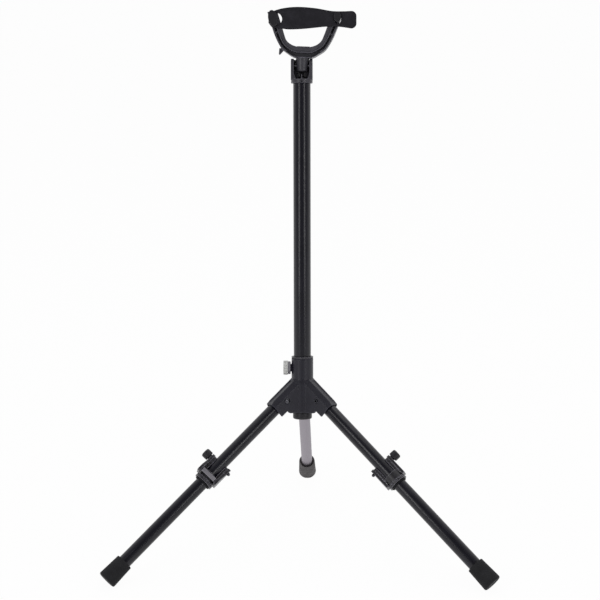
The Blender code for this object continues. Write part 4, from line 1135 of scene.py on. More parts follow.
def shouldered(name, outline, half_width, rise, chamfer, turn):
    """Solid of a side view about one leg, with its upper corners sloped along the leg."""
    solid = moved(plate(name, [outline], -half_width, half_width, "YZ"), leg_turn(turn))
    wide = half_width + OVERLAP
    high = rise + OVERLAP
    depth = chamfer + 2 * OVERLAP
    wedge = [(wide - depth, high), (wide, high - depth), (wide, high)]
    other = [(-across, up) for across, up in wedge]
    reach = 3 * CHEEK_REACH
    wedges = plate("wedges", [wedge, other], -reach, reach)
    lie = Matrix.Rotation(LEG_ANGLE - math.pi / 2, 4, "X")
    combine(solid, [moved(wedges, pivot_shift(turn) @ leg_turn(turn) @ lie)], "DIFFERENCE")
    return baked(solid)


def slot_half_width():
    return KNUCKLE_RADIUS + 2 * SWING_GAP


class STAND_OT_hub(bpy.types.Operator):
    """Hub moulding with its three leg housings, the column's bush and the brass insert"""
    bl_idname = "guitar_stand.hub"
    bl_label = "Hub"

    def execute(self, context):
        edge = context.scene.stand_sizes.edge_round
        bore = COLUMN_RADIUS + GAP
        wall = COLLAR_RADIUS + KNOB_BOSS_LENGTH
        self.build_moulding(bore, wall)
        self.build_bush(bore, edge)
        insert = sleeve(
            "insert", NUT_RADIUS, SCREW_RADIUS + GAP, bore + GAP, wall, "brass", edge / 2
        )
        finish_piece(insert, "insert_sleeve", height_knob_frame(), "brass", "hub", "insert_nut")
        return {"FINISHED"}

    def build_moulding(self, bore, wall):
        hub = turned("hub", [
            (0, COLLAR_TOP), (COLLAR_RADIUS, COLLAR_TOP), (COLLAR_RADIUS, COLLAR_FOOT),
            (BOSS_RADIUS, BOSS_TOP), (BOSS_RADIUS, HUB_BOTTOM), (0, HUB_BOTTOM),
        ], "hub_plastic")
        housings, cutters = self.leg_housings()
        boss = moved(rod("boss", KNOB_BOSS_RADIUS, -wall, -bore, "X"), raised(KNOB_HEIGHT))
        combine(hub, [*housings, boss], "UNION")
        seat = bore + BUSH_WALL + GAP
        seat_foot = COLLAR_TOP - BUSH_DEPTH - GAP
        column_room = turned("column_room", [
            (0, 2 * COLLAR_TOP), (seat, 2 * COLLAR_TOP), (seat, seat_foot), (bore, seat_foot),
            (bore, 2 * HUB_BOTTOM), (0, 2 * HUB_BOTTOM),
        ], "hub_plastic")
        nut_seat = rod("nut_seat", NUT_RADIUS + GAP, -2 * wall, GAP - bore, "X")
        moved(nut_seat, raised(KNOB_HEIGHT))
        combine(hub, [*cutters, column_room, nut_seat], "DIFFERENCE")
        hub = moulded(hub, *HUB_SKIN)
        finish_piece(hub, "hub_moulding", stand_frame(), "hub_plastic", "hub", "hub_body")

    def leg_housings(self):
        """The three housings, and what is cut out of them for the legs and their bolts."""
        slot = slot_half_width()
        half_width = slot + CHEEK_WALL
        pins = slot + 2 * CHEEK_WALL
        groove = WEB_GROOVE_WIDTH / 2
        housings = []
        cutters = []
        for turn in LEG_TURNS.values():
            pivot = pivot_shift(turn) @ leg_turn(turn)
            housings.append(shouldered(
                "housing", cheek_outline(), half_width, CHEEK_RISE, CHEEK_SHOULDER, turn
            ))
            cutters.append(shouldered(
                "slot", slot_outline(), slot, LEG_RADIUS + GAP, KNUCKLE_CHAMFER + SWING_GAP, turn
            ))
            channel = plate("groove", [groove_outline()], -groove, groove, "YZ")
            cutters.append(moved(channel, leg_turn(turn)))
            hole = rod("bolt_hole", PIN_RADIUS + GAP, -pins, pins, "X")
            sink = rod("head_sink", PIN_HEAD_RADIUS + GAP, -pins, PIN_SINK - half_width, "X")
            cutters += [moved(hole, pivot), moved(sink, pivot)]
        return housings, cutters

    def build_bush(self, bore, edge):
        lip_foot = COLLAR_TOP + GAP
        lip_top = lip_foot + BUSH_FLANGE
        lining = bore + BUSH_WALL
        foot = COLLAR_TOP - BUSH_DEPTH
        bush = turned("bush", eased([
            (bore, lip_top), (COLLAR_RADIUS, lip_top), (COLLAR_RADIUS, lip_foot),
            (lining, lip_foot), (lining, foot), (bore, foot),
        ], edge, ring=True), "clamp_plastic", ring=True)
        finish_piece(bush, "bush_lip", stand_frame(), "clamp_plastic", "hub", "column_bush")


class STAND_OT_height_knob(bpy.types.Operator):
    """Fluted two-tone knob that locks the column's height"""
    bl_idname = "guitar_stand.height_knob"
    bl_label = "Height Knob"

    def execute(self, context):
        sizes = context.scene.stand_sizes
        skirt_foot = COLLAR_RADIUS + KNOB_BOSS_LENGTH + GAP
        skirt_top = skirt_foot + KNOB_SKIRT_LENGTH
        grip_foot = skirt_top + GAP
        grip_top = grip_foot + KNOB_GRIP_LENGTH
        shank_end = grip_top - SCREW_RADIUS
        hole = SCREW_RADIUS + GAP
        place = height_knob_frame()
        grip = turned("grip", [
            (0, grip_top), (KNOB_GRIP_RADIUS, grip_top), (KNOB_GRIP_RADIUS, grip_foot),
            (hole, grip_foot), (hole, shank_end + GAP), (0, shank_end + GAP),
        ], "grip_grey")
        flute = moved(
            rod("flute", sizes.flute_radius, skirt_top, 2 * grip_top),
            Matrix.Translation((KNOB_GRIP_RADIUS, 0, 0)),
        )
        grip = ring_cut(grip, flute, sizes.grip_flutes, "grip_grey")
        grip = moulded(grip, *KNOB_SKIN)
        finish_piece(grip, "height_grip", place, "grip_grey", "height_knob", "height_knob_grip")
        skirt = turned("skirt", eased([
            (hole, skirt_top), (KNOB_SKIRT_RADIUS, skirt_top), (KNOB_SKIRT_RADIUS, skirt_foot),
            (hole, skirt_foot),
        ], sizes.edge_round, ring=True), "skirt_grey", ring=True)
        finish_piece(skirt, "height_skirt", place, "skirt_grey", "height_knob", "height_knob_skirt")
        stud = shaft(
            "stud", SCREW_RADIUS, COLUMN_RADIUS + GAP, shank_end, "black_steel", sizes.edge_round
        )
        finish_piece(stud, "height_stud", place, "black_steel", "height_knob", "height_screw")
        return {"FINISHED"}


# Bracket, yoke and strap

class STAND_OT_bracket(bpy.types.Operator):
    """Bracket on the column's top, with the yoke's pin and the fixing screw"""
    bl_idname = "guitar_stand.bracket"
    bl_label = "Yoke Bracket"

    def execute(self, context):
        edge = context.scene.stand_sizes.edge_round
        self.build_clevis()
        self.build_pin(edge)
        self.build_screw(edge / 2)
        return {"FINISHED"}

    def build_clevis(self):
        plug = COLUMN_RADIUS - COLUMN_WALL - GAP
        tube_end = COLUMN_TOP + GAP
        crown = CLEVIS_FLOOR + OVERLAP
        skirt_bore = COLUMN_RADIUS + GAP
        clevis = turned("clevis", [
            (0, crown), (CLEVIS_HALF_WIDTH, crown), (CLEVIS_HALF_WIDTH, CLEVIS_BOTTOM),
            (skirt_bore, CLEVIS_BOTTOM), (skirt_bore, tube_end), (plug, tube_end),
            (plug, tube_end - CLEVIS_PLUG), (0, tube_end - CLEVIS_PLUG),
        ], "yoke_plastic")
        depth = CLEVIS_HALF_DEPTH
        foot = (tube_end + CLEVIS_FLOOR) / 2
        round_top = arc((0, YOKE_PIVOT_HEIGHT), depth, 0, 180, 32)
        cheeks = plate(
            "cheeks", [[(depth, foot), *round_top, (-depth, foot)]],
            -CLEVIS_HALF_WIDTH, CLEVIS_HALF_WIDTH, "YZ",
        )
        gap = CLEVIS_HALF_GAP
        top = YOKE_PIVOT_HEIGHT + 2 * depth
        chamfer = gap / 4
        deep = 2 * CLEVIS_HALF_WIDTH
        hollow = plate("hollow", [[
            (gap, top), (-gap, top), (-gap, CLEVIS_FLOOR + 3 * chamfer),
            (chamfer - gap, CLEVIS_FLOOR), (gap - chamfer, CLEVIS_FLOOR),
            (gap, CLEVIS_FLOOR + 3 * chamfer),
        ]], -deep, deep)
        rib = box(
            "rib", (-RIB_HALF_WIDTH, -RIB_HALF_DEPTH, CLEVIS_FLOOR - OVERLAP),
            (RIB_HALF_WIDTH, RIB_HALF_DEPTH, RIB_TOP),
        )
        pin_hole = rod("pin_hole", YOKE_PIN_RADIUS + GAP, -deep, deep, "X")
        moved(pin_hole, raised(YOKE_PIVOT_HEIGHT))
        combine(clevis, [cheeks], "UNION")
        combine(clevis, [hollow], "DIFFERENCE")
        combine(clevis, [rib, self.build_wall()], "UNION")
        combine(clevis, [pin_hole], "DIFFERENCE")
        clevis = moulded(clevis, *FITTING_SKIN)
        finish_piece(clevis, "yoke_clevis", stand_frame(), "yoke_plastic", "column", "yoke_bracket")

    def build_pin(self, edge):
        end = CLEVIS_HALF_WIDTH - GAP
        pin = shaft("pin", YOKE_PIN_RADIUS, -end, end, "black_steel", edge)
        across = raised(YOKE_PIVOT_HEIGHT) @ POINT_RIGHT
        finish_piece(
            pin, "clevis_pin", stand_frame() @ across, "black_steel", "column", "yoke_pivot_pin"
        )

    def build_screw(self, edge):
        face = CLEVIS_HALF_WIDTH
        head = FIX_SCREW_RADIUS
        screw = turned("screw", eased([
            (0, face + FIX_SCREW_HEAD + GAP), (head, face + FIX_SCREW_HEAD), (head, face + GAP),
            (head / 2, face + GAP), (head / 2, COLUMN_RADIUS + GAP), (0, COLUMN_RADIUS + GAP),
        ], edge), "black_steel")
        middle = (CLEVIS_BOTTOM + COLUMN_TOP) / 2
        forward = raised(middle) @ Matrix.Rotation(math.pi / 2, 4, "X")
        finish_piece(
            screw, "clevis_screw", stand_frame() @ forward, "black_steel", "column", "bracket_screw"
        )

    def build_wall(self):
        """Round wall behind the yoke's stem, from cheek to cheek."""
        outer = CLEVIS_HALF_WIDTH - CLEVIS_WALL_INSET
        low = CLEVIS_FLOOR - OVERLAP
        top = YOKE_PIVOT_HEIGHT + CLEVIS_WALL_RISE
        wall = sleeve("wall", outer, CLEVIS_WALL_RADIUS, low, top, "yoke_plastic")
        front = box("front", (-2 * outer, -2 * outer, 0), (2 * outer, 0, 2 * top))
        combine(wall, [front], "DIFFERENCE")
        return baked(wall)


def groove_rib(side):
    """Cross rib in the groove of one prong, between the two flanges."""
    outer, inner = yoke_edges()
    index = round(RIB_AT * (len(outer) - 1))
    span = inner[index] - outer[index]
    low = outer[index] + span * OUTER_FLANGE / 2
    high = outer[index] + span * sum(INNER_FLANGE) / 2
    thick = Vector((high.y - low.y, low.x - high.x)).normalized() * RIB_HALF_WIDTH
    outline = [low + thick, high + thick, high - thick, low - thick]
    outline = [(side * point.x, point.y) for point in outline]
    depth = YOKE_HALF_DEPTH - OVERLAP
    return plate("rib", [outline], -depth, depth)


def foot_groove(side):
    """Room that carries one of the U's grooves out to a thin lip round its foot."""
    near, far = sorted((side * WEB_HALF_DEPTH, side * 2 * YOKE_HALF_DEPTH))
    share = OUTER_FLANGE + FOOT_FLANGE / 2
    room = swept_bar("foot_groove", [
        (FOOT_FLANGE, near), (share, near), (share, far), (FOOT_FLANGE, far),
    ])
    wide = 2 * YOKE_OUTER_EDGE[-1][0]
    low = box("low", (-wide, -wide, -wide), (wide, wide, FOOT_FLANGE_TOP))
    combine(room, [low], "INTERSECT")
    return baked(room)


class STAND_OT_yoke(bpy.types.Operator):
    """U-shaped yoke with its stem, strap pegs, rubber lining and saddle pad"""
    bl_idname = "guitar_stand.yoke"
    bl_label = "Yoke"

    def execute(self, context):
        strap = context.scene.stand_sizes.strap_thickness
        self.build_fork(-YOKE_HALF_DEPTH - STRAP_STANDOFF - strap - 2 * GAP)
        self.build_lining()
        return {"FINISHED"}

    def build_fork(self, head_back):
        """The U and all that is moulded with it. The pegs' heads begin at head_back."""
        half = YOKE_HALF_DEPTH
        web = WEB_HALF_DEPTH
        near, far = INNER_FLANGE
        flange = OUTER_FLANGE
        fork = swept_bar("fork", [
            (0, -half), (flange, -half), (flange, -web), (near, -web), (near, -half), (far, -half),
            (far, half), (near, half), (near, web), (flange, web), (flange, half), (0, half),
        ])
        stem_top = YOKE_OUTER_EDGE[0][1] + OVERLAP
        stem = turned("stem", eased([
            (0, stem_top), (STEM_TOP_RADIUS, stem_top),
            (STEM_TOP_RADIUS, stem_top - STEM_SHOULDER), (STEM_FOOT_RADIUS, STEM_FOOT),
            (0, STEM_FOOT),
        ], STEM_ROUND), "yoke_plastic")
        moved(stem, Matrix.Translation((STEM_SHIFT, 0, 0)))
        lug = plate("lug", [LUG_OUTLINE], *LUG_DEPTH)
        pegs = self.strap_pegs(head_back)
        combine(fork, [foot_groove(-1), foot_groove(1)], "DIFFERENCE")
        combine(fork, [groove_rib(-1), groove_rib(1), stem, lug, *pegs], "UNION")
        to_pivot = yoke_frame().inverted() @ stand_frame()
        ends = 2 * STEM_TOP_RADIUS
        pin_hole = rod("pin_hole", YOKE_PIN_RADIUS + GAP, -ends, ends, "X")
        moved(pin_hole, to_pivot @ raised(YOKE_PIVOT_HEIGHT))
        combine(fork, [pin_hole], "DIFFERENCE")
        fork = moulded(fork, *FORK_SKIN)
        heads = [face.index for face in fork.data.polygons if face.center.y < head_back + GAP]
        finish_piece(fork, "yoke_fork", yoke_frame(), "yoke_plastic", "yoke", "yoke_frame")
        fork.data.materials.append(MATERIALS["knob_plastic"])
        for index in heads:
            fork.data.polygons[index].material_index = 1

    def strap_pegs(self, head_back):
        pegs = []
        for peg, size, lean in (
            (LEFT_PEG, LEFT_HEAD_SIZE, HEAD_LEAN), (RIGHT_PEG, RIGHT_HEAD_SIZE, 0),
        ):
            post = rod("post", PEG_RADIUS, head_back - OVERLAP, 0, "Y")
            pegs.append(moved(post, Matrix.Translation((peg[0], 0, peg[1]))))
            pegs.append(plate(
                "head", [oval(peg, *size, lean)], head_back - PEG_HEAD_THICK, head_back
            ))
        return pegs

    def build_lining(self):
        """Rubber lining of the U, and the saddle pad that is let into it."""
        low, high = LINER_SHARE
        depth = LINER_HALF_DEPTH
        lining = swept_bar("lining", [(low, -depth), (high, -depth), (high, depth), (low, depth)])
        surface = YOKE_INNER_EDGE[0][1]
        seat = surface - SADDLE_THICK
        wide = SADDLE_HALF_WIDTH
        deep = SADDLE_HALF_DEPTH
        pocket = box(
            "pocket", (-wide - GAP, -deep - GAP, seat - GAP),
            (wide + GAP, deep + GAP, surface + SADDLE_THICK),
        )
        combine(lining, [pocket], "DIFFERENCE")
        lining = moulded(lining, *LINING_SKIN)
        finish_piece(lining, "fork_lining", yoke_frame(), "liner_rubber", "yoke", "yoke_liner")
        pad = box("pad", (-wide, -deep, seat), (wide, deep, surface + SADDLE_PROUD))
        pad = moulded(pad, *SADDLE_SKIN)
        finish_piece(pad, "saddle_pad", yoke_frame(), "strap_rubber", "yoke", "yoke_saddle")


class STAND_OT_strap(bpy.types.Operator):
    """Rubber strap from peg to peg, with its two holes and long tail"""
    bl_idname = "guitar_stand.strap"
    bl_label = "Strap"

    def execute(self, context):
        sizes = context.scene.stand_sizes
        back = -YOKE_HALF_DEPTH - STRAP_STANDOFF
        reach = cant_point(RIGHT_PEG) - cant_point(LEFT_PEG)
        left_hole = oval(LEFT_HOLE_SHIFT, LEFT_HOLE_RADIUS, LEFT_HOLE_RADIUS)
        right_hole = oval(
            (reach.x + RIGHT_HOLE_SHIFT[0], reach.y + RIGHT_HOLE_SHIFT[1]), *RIGHT_HOLE_SIZE
        )
        tip_x = STRAP_TOP[-1][0]
        rounding = STRAP_END_ROUND
        tip = arc((tip_x, STRAP_TOP[-1][1] - rounding), rounding, 90, 0, 12)
        tip += arc((tip_x, STRAP_BOTTOM[0][1] + rounding), rounding, 0, -90, 12)
        above, below = (smooth_path(side, STRAP_CURVE_STEPS) for side in (STRAP_TOP, STRAP_BOTTOM))
        rim = above[:-1] + tip + below[1:]
        strap = plate(
            "strap", [rim, left_hole, right_hole], back - sizes.strap_thickness, back,
            edge=sizes.strap_edge,
        )
        finish_piece(strap, "rubber_strap", strap_frame(), "strap_rubber", "strap", "neck_strap")
        return {"FINISHED"}


# Legs

class STAND_OT_legs(bpy.types.Operator):
    """Three leg tubes with their moulded fittings, hinge bolts and rubber feet"""
    bl_idname = "guitar_stand.legs"
    bl_label = "Legs"

    def execute(self, context):
        for name in LEG_TURNS:
            self.build_tube(context, name)
            self.build_fitting(name)
            self.build_bolt(context, name)
            self.build_foot(context, name)
        return {"FINISHED"}

    def build_tube(self, context, name):
        top = -KNUCKLE_NECK - GAP
        end = CAP_FLOOR + GAP - leg_length(name)
        slot = "silver_tube" if name == "rear" else "black_paint"
        edge = context.scene.stand_sizes.edge_round / 2
        pipe = sleeve("pipe", *leg_tube(name), end, top, slot, edge)
        finish_piece(
            pipe, f"{name}_leg_pipe", leg_frame(name), slot, f"{name}_leg", f"{name}_leg_tube"
        )

    def build_fitting(self, name):
        half_width = slot_half_width() - SWING_GAP
        tube_radius, tube_bore = leg_tube(name)
        shoulder = half_width - KNUCKLE_CHAMFER
        face = KNUCKLE_RADIUS - KNUCKLE_CHAMFER
        fitting = turned("fitting", [
            (0, half_width), (face, half_width), (KNUCKLE_RADIUS, shoulder),
            (KNUCKLE_RADIUS, -shoulder), (face, -half_width), (0, -half_width),
        ], "hub_plastic")
        moved(fitting, POINT_RIGHT)
        plug = tube_bore - GAP
        foot = -KNUCKLE_NECK - KNUCKLE_PLUG
        neck = KNUCKLE_NECK_RADIUS
        parts = [turned("plug", [
            (0, 0), (neck, 0), (neck, -KNUCKLE_NECK), (plug, -KNUCKLE_NECK), (plug, foot),
            (0, foot),
        ], "hub_plastic")]
        if name == "rear":
            parts.append(sleeve(
                "socket", LEG_RADIUS, tube_radius + GAP, -KNUCKLE_NECK - REAR_SOCKET,
                -KNUCKLE_NECK / 2, "hub_plastic",
            ))
        combine(fitting, parts, "UNION")
        ends = 2 * half_width
        combine(fitting, [rod("bore", PIN_RADIUS + GAP, -ends, ends, "X")], "DIFFERENCE")
        fitting = moulded(fitting, *FITTING_SKIN)
        finish_piece(
            fitting, f"{name}_leg_fitting", leg_frame(name), "hub_plastic", f"{name}_leg",
            f"{name}_leg_knuckle",
        )

    def build_bolt(self, context, name):
        edge = context.scene.stand_sizes.edge_round
        outside = slot_half_width() + CHEEK_WALL
        head_foot = outside - PIN_SINK + GAP
        eye_end = -outside - PIN_SINK
        head = PIN_HEAD_RADIUS
        dome = [
            (head * math.sin(math.radians(angle)),
             head_foot + PIN_HEAD * math.cos(math.radians(angle)))
            for angle in range(0, 81, 10)
        ]
        bolt = turned("bolt", [
            *dome, (head, head_foot), (PIN_RADIUS, head_foot),
            *eased([
                (PIN_RADIUS, head_foot), (PIN_RADIUS, eye_end), (PIN_EYE_RADIUS, eye_end),
                (PIN_EYE_RADIUS, eye_end + PIN_EYE_DEPTH),
            ], edge / 2)[1:],
            (0, eye_end + PIN_EYE_DEPTH),
        ], "black_steel")
        finish_piece(
            bolt, f"{name}_hinge_bolt", leg_heading(name) @ POINT_LEFT, "black_steel", "hub",
            f"{name}_pivot_bolt",
        )

    def build_foot(self, context, name):
        edge = context.scene.stand_sizes.edge_round
        length = leg_length(name)
        mouth = CAP_LENGTH - length
        foot = -length
        bore = leg_tube(name)[0] + GAP
        bore_end = foot + CAP_FLOOR
        if name == "rear":
            slot = "grey_rubber"
            recess = CAP_MOUTH_RADIUS - CAP_RECESS_LIP
            rim = [(bore, mouth - CAP_RECESS), (recess, mouth - CAP_RECESS), (recess, mouth)]
        else:
            slot = "cap_rubber"
            rim = [(bore, mouth)]
        outside = [(CAP_MOUTH_RADIUS, mouth), (CAP_RADIUS, foot), (0, foot)]
        upper = eased([(bore, bore_end), *rim, *outside[:2]], 1.5 * edge)[:-1]
        lower = eased(outside, CAP_ROUND, steps=8)[1:]
        cap = turned("cap", [(0, bore_end), *upper, *lower], slot)
        moved(cap, leg_frame(name))
        floor = box("floor", (-1, -1, -1), (1, 1, FOOT_CUT))
        combine(cap, [floor], "DIFFERENCE")
        finish_piece(
            baked(cap), f"{name}_rubber_foot", Matrix(), slot, f"{name}_leg", f"{name}_foot_cap"
        )


# Body supports

def clamp_face():
    """Distance from a leg's axis to the outside of the clamp that the stirrup swings on."""
    return LEG_RADIUS + GAP + EAR_THICK


class STAND_OT_clamps(bpy.types.Operator):
    """Sliding clamps of the front legs, with notched ring, rubber band and ball stud"""
    bl_idname = "guitar_stand.clamps"
    bl_label = "Clamps"

    def execute(self, context):
        sizes = context.scene.stand_sizes
        for name in ("left", "right"):
            self.build_collar(name)
            self.build_ring(sizes, name)
            self.build_stud(name)
        return {"FINISHED"}

    def build_collar(self, name):
        bore = LEG_RADIUS + GAP
        face = clamp_face()
        foot = CLAMP_COLLAR_TOP - CLAMP_COLLAR_HEIGHT
        collar = shaft("collar", face - CLAMP_INSET, foot, CLAMP_COLLAR_TOP, "clamp_plastic")
        root = CLAMP_COLLAR_TOP - CLAMP_COLLAR_HEIGHT / 3
        depth = EAR_HALF_DEPTH
        side_view = [
            (depth, root), *arc((0, EAR_TOP - depth), depth, 0, 180, 24), (-depth, root),
        ]
        combine(collar, side_plates("ear", side_view, bore / 2, face), "UNION")
        combine(collar, [
            rod("tube_room", bore, 2 * foot, -foot, segments=72),
            rod("bolt_room", BOLT_RADIUS + GAP, -2 * face, 2 * face, "X"),
        ], "DIFFERENCE")
        collar = moulded(collar, *FITTING_SKIN)
        finish_piece(
            collar, f"{name}_slide_collar", clamp_frame(name), "clamp_plastic",
            f"{name}_clamp", f"{name}_clamp_collar",
        )

    def build_ring(self, sizes, name):
        bore = LEG_RADIUS + GAP
        top = CLAMP_COLLAR_TOP - CLAMP_COLLAR_HEIGHT - GAP
        foot = top - RING_HEIGHT
        outer = LEG_RADIUS + RING_WALL
        ring = sleeve("ring", outer, bore, foot, top, "clamp_plastic")
        deep, wide, tall = sizes.notch_size
        notch = box(
            "notch", (outer - deep / 2, -wide / 2, top - tall), (outer + deep, wide / 2, top + tall)
        )
        ring = ring_cut(ring, notch, sizes.ring_notches, "clamp_plastic")
        ring = moulded(ring, *RING_SKIN)
        finish_piece(
            ring, f"{name}_toothed_ring", clamp_frame(name), "clamp_plastic",
            f"{name}_clamp", f"{name}_notched_ring",
        )
        band_top = foot - GAP
        band = sleeve(
            "band", LEG_RADIUS + BAND_WALL, bore, band_top - BAND_HEIGHT, band_top, "cap_rubber",
            2 * sizes.edge_round,
        )
        finish_piece(
            band, f"{name}_rubber_ring", clamp_frame(name), "cap_rubber",
            f"{name}_clamp", f"{name}_ring_band",
        )

    def build_stud(self, name):
        start = LEG_RADIUS + GAP
        end = clamp_face() + GAP + ARM_THICK + PIVOT_BALL_STAND
        ball = arc((0, end), PIVOT_BALL_RADIUS, 90, -30, 12)
        stud = turned("stud", [*ball, (PIVOT_STUD_RADIUS, start), (0, start)], "black_steel")
        finish_piece(
            stud, f"{name}_ball_stud", clamp_frame(name) @ POINT_LEFT, "black_steel",
            f"{name}_clamp", f"{name}_pivot_stud",
        )


class STAND_OT_stirrups(bpy.types.Operator):
    """Swing-out stirrups of the body supports, with the pads on their crossbars"""
    bl_idname = "guitar_stand.stirrups"
    bl_label = "Stirrups"

    def execute(self, context):
        inside = clamp_face() + GAP
        depth = ARM_HALF_DEPTH
        pad_back = CROSSBAR_FRONT + GAP
        pad_front = pad_back + ARM_PAD_THICK
        side_view = [
            (-depth, ARM_FOOT), *arc((0, 0), ARM_HEAD, 215, -35, 24),
            (pad_front, CROSSBAR_TOP + ARM_NOSE), (pad_front, CROSSBAR_FOOT - ARM_NOSE),
            (CROSSBAR_BACK, ARM_FOOT),
        ]
        for name in ("left", "right"):
            bar, other = side_plates("bar", side_view, inside, inside + ARM_THICK)
            overlap = inside + ARM_THICK / 2
            crossbar = box(
                "crossbar", (-overlap, CROSSBAR_BACK, CROSSBAR_FOOT),
                (overlap, CROSSBAR_FRONT, CROSSBAR_TOP),
            )
            combine(bar, [other, crossbar], "UNION")
            ends = inside + 2 * ARM_THICK
            combine(bar, [rod("hole", BOLT_RADIUS + GAP, -ends, ends, "X")], "DIFFERENCE")
            stirrup = moulded(bar, *FITTING_SKIN)
            place = clamp_frame(name)
            finish_piece(
                stirrup, f"{name}_stirrup", place, "clamp_plastic", f"{name}_arm",
                f"{name}_support_arm",
            )
            pad_end = inside - ARM_PAD_INSET
            pad = box(
                "pad", (-pad_end, pad_back, CROSSBAR_FOOT), (pad_end, pad_front, CROSSBAR_TOP)
            )
            pad = moulded(pad, *ARM_PAD_SKIN)
            finish_piece(
                pad, f"{name}_stirrup_pad", place, "skirt_grey", f"{name}_arm", f"{name}_arm_pad"
            )
        return {"FINISHED"}


class STAND_OT_side_knobs(bpy.types.Operator):
    """Lobed knobs that lock the body supports, on their bolts"""
    bl_idname = "guitar_stand.side_knobs"
    bl_label = "Side Knobs"

    def execute(self, context):
        sizes = context.scene.stand_sizes
        neck_foot = clamp_face() + GAP + ARM_THICK + GAP
        knob_foot = neck_foot + SIDE_KNOB_NECK
        knob_top = knob_foot + SIDE_KNOB_LENGTH
        bolt_end = knob_foot + SIDE_KNOB_LENGTH / 2
        hole = BOLT_RADIUS + GAP
        for name in ("left", "right"):
            knob = turned("knob", [
                *eased([
                    (0, knob_top), (SIDE_KNOB_RADIUS, knob_top), (SIDE_KNOB_RADIUS, knob_foot),
                    (SIDE_KNOB_NECK_RADIUS, knob_foot),
                ], 5 * sizes.edge_round),
                (SIDE_KNOB_NECK_RADIUS, neck_foot), (hole, neck_foot), (hole, bolt_end + GAP),
                (0, bolt_end + GAP),
            ], "knob_plastic")
            lobe = moved(
                rod("lobe", sizes.lobe_radius, knob_foot - OVERLAP, knob_top + OVERLAP),
                Matrix.Translation((SIDE_KNOB_RADIUS, 0, 0)),
            )
            knob = ring_cut(knob, lobe, sizes.side_knob_lobes, "knob_plastic")
            knob = moulded(knob, *KNOB_SKIN)
            place = side_knob_frame(name)
            finish_piece(
                knob, f"{name}_lobed_knob", place, "knob_plastic", f"{name}_knob",
                f"{name}_clamp_knob",
            )
            bolt = shaft(
                "bolt", BOLT_RADIUS, LEG_RADIUS + GAP, bolt_end, "black_steel", sizes.edge_round
            )
            finish_piece(
                bolt, f"{name}_knob_bolt", place, "black_steel", f"{name}_knob",
                f"{name}_clamp_bolt",
            )
        return {"FINISHED"}


# Stage

def any_ray(tree, path, *kinds):
    """1 for a ray of any of the kinds, and else 0."""
    seen = path[kinds[0]]
    for kind in kinds[1:]:
        seen = add_node(
            tree, "ShaderNodeMath", {0: seen, 1: path[kind]}, operation="MAXIMUM"
        ).outputs[0]
    return seen


def floor_surface(colour):
    """Seamless studio paper: pale and matt. What the camera and reflections see of it is mostly
    its own white, so that the ground stays even and keeps a soft shadow."""
    material, tree, shader = new_surface("Studio paper")
    place = add_node(tree, "ShaderNodeTexCoord").outputs["Object"]
    tone = mottled(tree, place, 60, 0.3, 0.7, shade(colour, 0.99), colour)
    tree.links.new(tone, shader.inputs["Base Color"])
    shader.inputs["Roughness"].default_value = 0.9
    shader.inputs["Specular IOR Level"].default_value = 0.1
    path = add_node(tree, "ShaderNodeLightPath").outputs
    seen = any_ray(tree, path, "Is Camera Ray", "Is Glossy Ray", "Is Transmission Ray")
    share = add_node(tree, "ShaderNodeMath", {0: seen, 1: FLOOR_GLOW}, operation="MULTIPLY")
    glow = add_node(tree, "ShaderNodeEmission", {"Color": (1, 1, 1, 1), "Strength": 1})
    mix = add_node(
        tree, "ShaderNodeMixShader", {0: share.outputs[0], 1: shader.outputs[0], 2: glow.outputs[0]}
    )
    tree.links.new(mix.outputs[0], tree.nodes["Material Output"].inputs["Surface"])
    return material


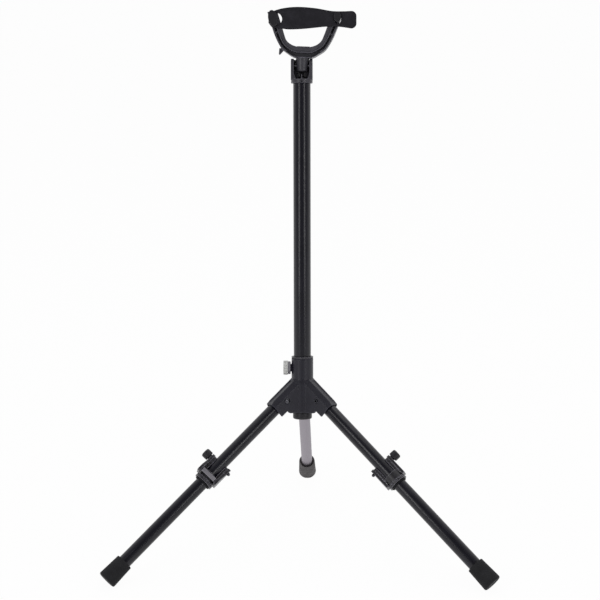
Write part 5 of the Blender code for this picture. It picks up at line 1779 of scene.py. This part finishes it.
class STAND_OT_stage(bpy.types.Operator):
    """Pale floor, soft studio light and the photograph's camera"""
    bl_idname = "guitar_stand.stage"
    bl_label = "Stage"

    def execute(self, context):
        bm = bmesh.new()
        bmesh.ops.create_grid(bm, x_segments=1, y_segments=1, size=FLOOR_HALF)
        floor = mesh_object("floor", bm)
        floor.data.materials.append(floor_surface(context.scene.stand_colours.floor))
        for name, place, size, power in LIGHTS:
            self.add_light(name, Vector(place), size, power)
        self.light_world(context)
        self.add_camera(context)
        context.scene.view_settings.view_transform = "Standard"
        return {"FINISHED"}

    def add_light(self, name, place, size, power):
        light = bpy.data.lights.new(name, "AREA")
        light.shape = "RECTANGLE"
        light.size, light.size_y = size
        light.energy = power
        obj = link(bpy.data.objects.new(name, light))
        obj.location = place
        obj.rotation_euler = (CAMERA_TARGET - place).to_track_quat("-Z", "Y").to_euler()

    def light_world(self, context):
        world = bpy.data.worlds.new("Studio")
        context.scene.world = world
        world.use_nodes = True
        tree = world.node_tree
        path = add_node(tree, "ShaderNodeLightPath").outputs
        seen = any_ray(tree, path, "Is Camera Ray", "Is Transmission Ray")
        plain = add_node(tree, "ShaderNodeMapRange", {
            "Value": seen, "To Min": WORLD_STRENGTH, "To Max": 1,
        })
        # Reflections show the white backdrop behind the stand and the dim room in front of it
        side = add_node(tree, "ShaderNodeSeparateXYZ", {
            0: add_node(tree, "ShaderNodeTexCoord").outputs["Generated"],
        })
        studio = add_node(tree, "ShaderNodeMapRange", {
            "Value": side.outputs["Y"], "From Min": -0.5, "From Max": 0.4, "To Min": ROOM_GLOW,
            "To Max": 1,
        })
        strength = add_node(tree, "ShaderNodeMix", {
            0: path["Is Glossy Ray"], 2: plain.outputs[0], 3: studio.outputs[0],
        })
        background = tree.nodes["Background"]
        background.inputs["Color"].default_value = (1, 1, 1, 1)
        tree.links.new(strength.outputs[0], background.inputs["Strength"])

    def add_camera(self, context):
        forward = Vector((
            math.sin(CAMERA_TURN) * math.cos(CAMERA_ELEVATION),
            math.cos(CAMERA_TURN) * math.cos(CAMERA_ELEVATION),
            -math.sin(CAMERA_ELEVATION),
        ))
        right = Vector((math.cos(CAMERA_TURN), -math.sin(CAMERA_TURN), 0))
        up = right.cross(forward)
        tilted_right = math.cos(CAMERA_ROLL) * right + math.sin(CAMERA_ROLL) * up
        tilted_up = math.cos(CAMERA_ROLL) * up - math.sin(CAMERA_ROLL) * right
        data = bpy.data.cameras.new("camera")
        data.sensor_width = SENSOR_MM
        data.lens = CAMERA_LENS_MM
        data.clip_start = CLIP_START
        camera = link(bpy.data.objects.new("camera", data))
        turn = Matrix((tilted_right, tilted_up, -forward)).transposed().to_4x4()
        camera.matrix_world = (
            Matrix.Translation(CAMERA_TARGET - CAMERA_DISTANCE * forward) @ turn
        )
        context.scene.camera = camera


PIECE_OPERATORS = (
    STAND_OT_column, STAND_OT_hub, STAND_OT_height_knob, STAND_OT_bracket, STAND_OT_yoke,
    STAND_OT_strap, STAND_OT_legs, STAND_OT_clamps, STAND_OT_stirrups, STAND_OT_side_knobs,
    STAND_OT_stage,
)


class STAND_PT_sidebar(bpy.types.Panel):
    """Pieces of the guitar stand, with their sizes and colours"""
    bl_idname = "STAND_PT_sidebar"
    bl_label = "Guitar Stand"
    bl_space_type = "VIEW_3D"
    bl_region_type = "UI"
    bl_category = "Guitar Stand"

    def draw(self, context):
        for operator in PIECE_OPERATORS:
            self.layout.operator(operator.bl_idname)
        for group in (context.scene.stand_sizes, context.scene.stand_colours):
            column = self.layout.column(align=True)
            for name in group.__annotations__:
                column.prop(group, name)


CLASSES = (StandSizes, StandColours, *PIECE_OPERATORS, STAND_PT_sidebar)


def register():
    for cls in CLASSES:
        bpy.utils.register_class(cls)
    bpy.types.Scene.stand_sizes = bpy.props.PointerProperty(type=StandSizes)
    bpy.types.Scene.stand_colours = bpy.props.PointerProperty(type=StandColours)


def unregister():
    del bpy.types.Scene.stand_colours
    del bpy.types.Scene.stand_sizes
    for cls in reversed(CLASSES):
        bpy.utils.unregister_class(cls)


def main():
    register()
    make_materials(bpy.context.scene.stand_colours)
    TREES["turning"] = turning_tree()
    TREES["round_cut"] = round_cut_tree()
    for operator in PIECE_OPERATORS:
        category, name = operator.bl_idname.split(".")
        getattr(getattr(bpy.ops, category), name)()


if __name__ == "__main__":
    main()
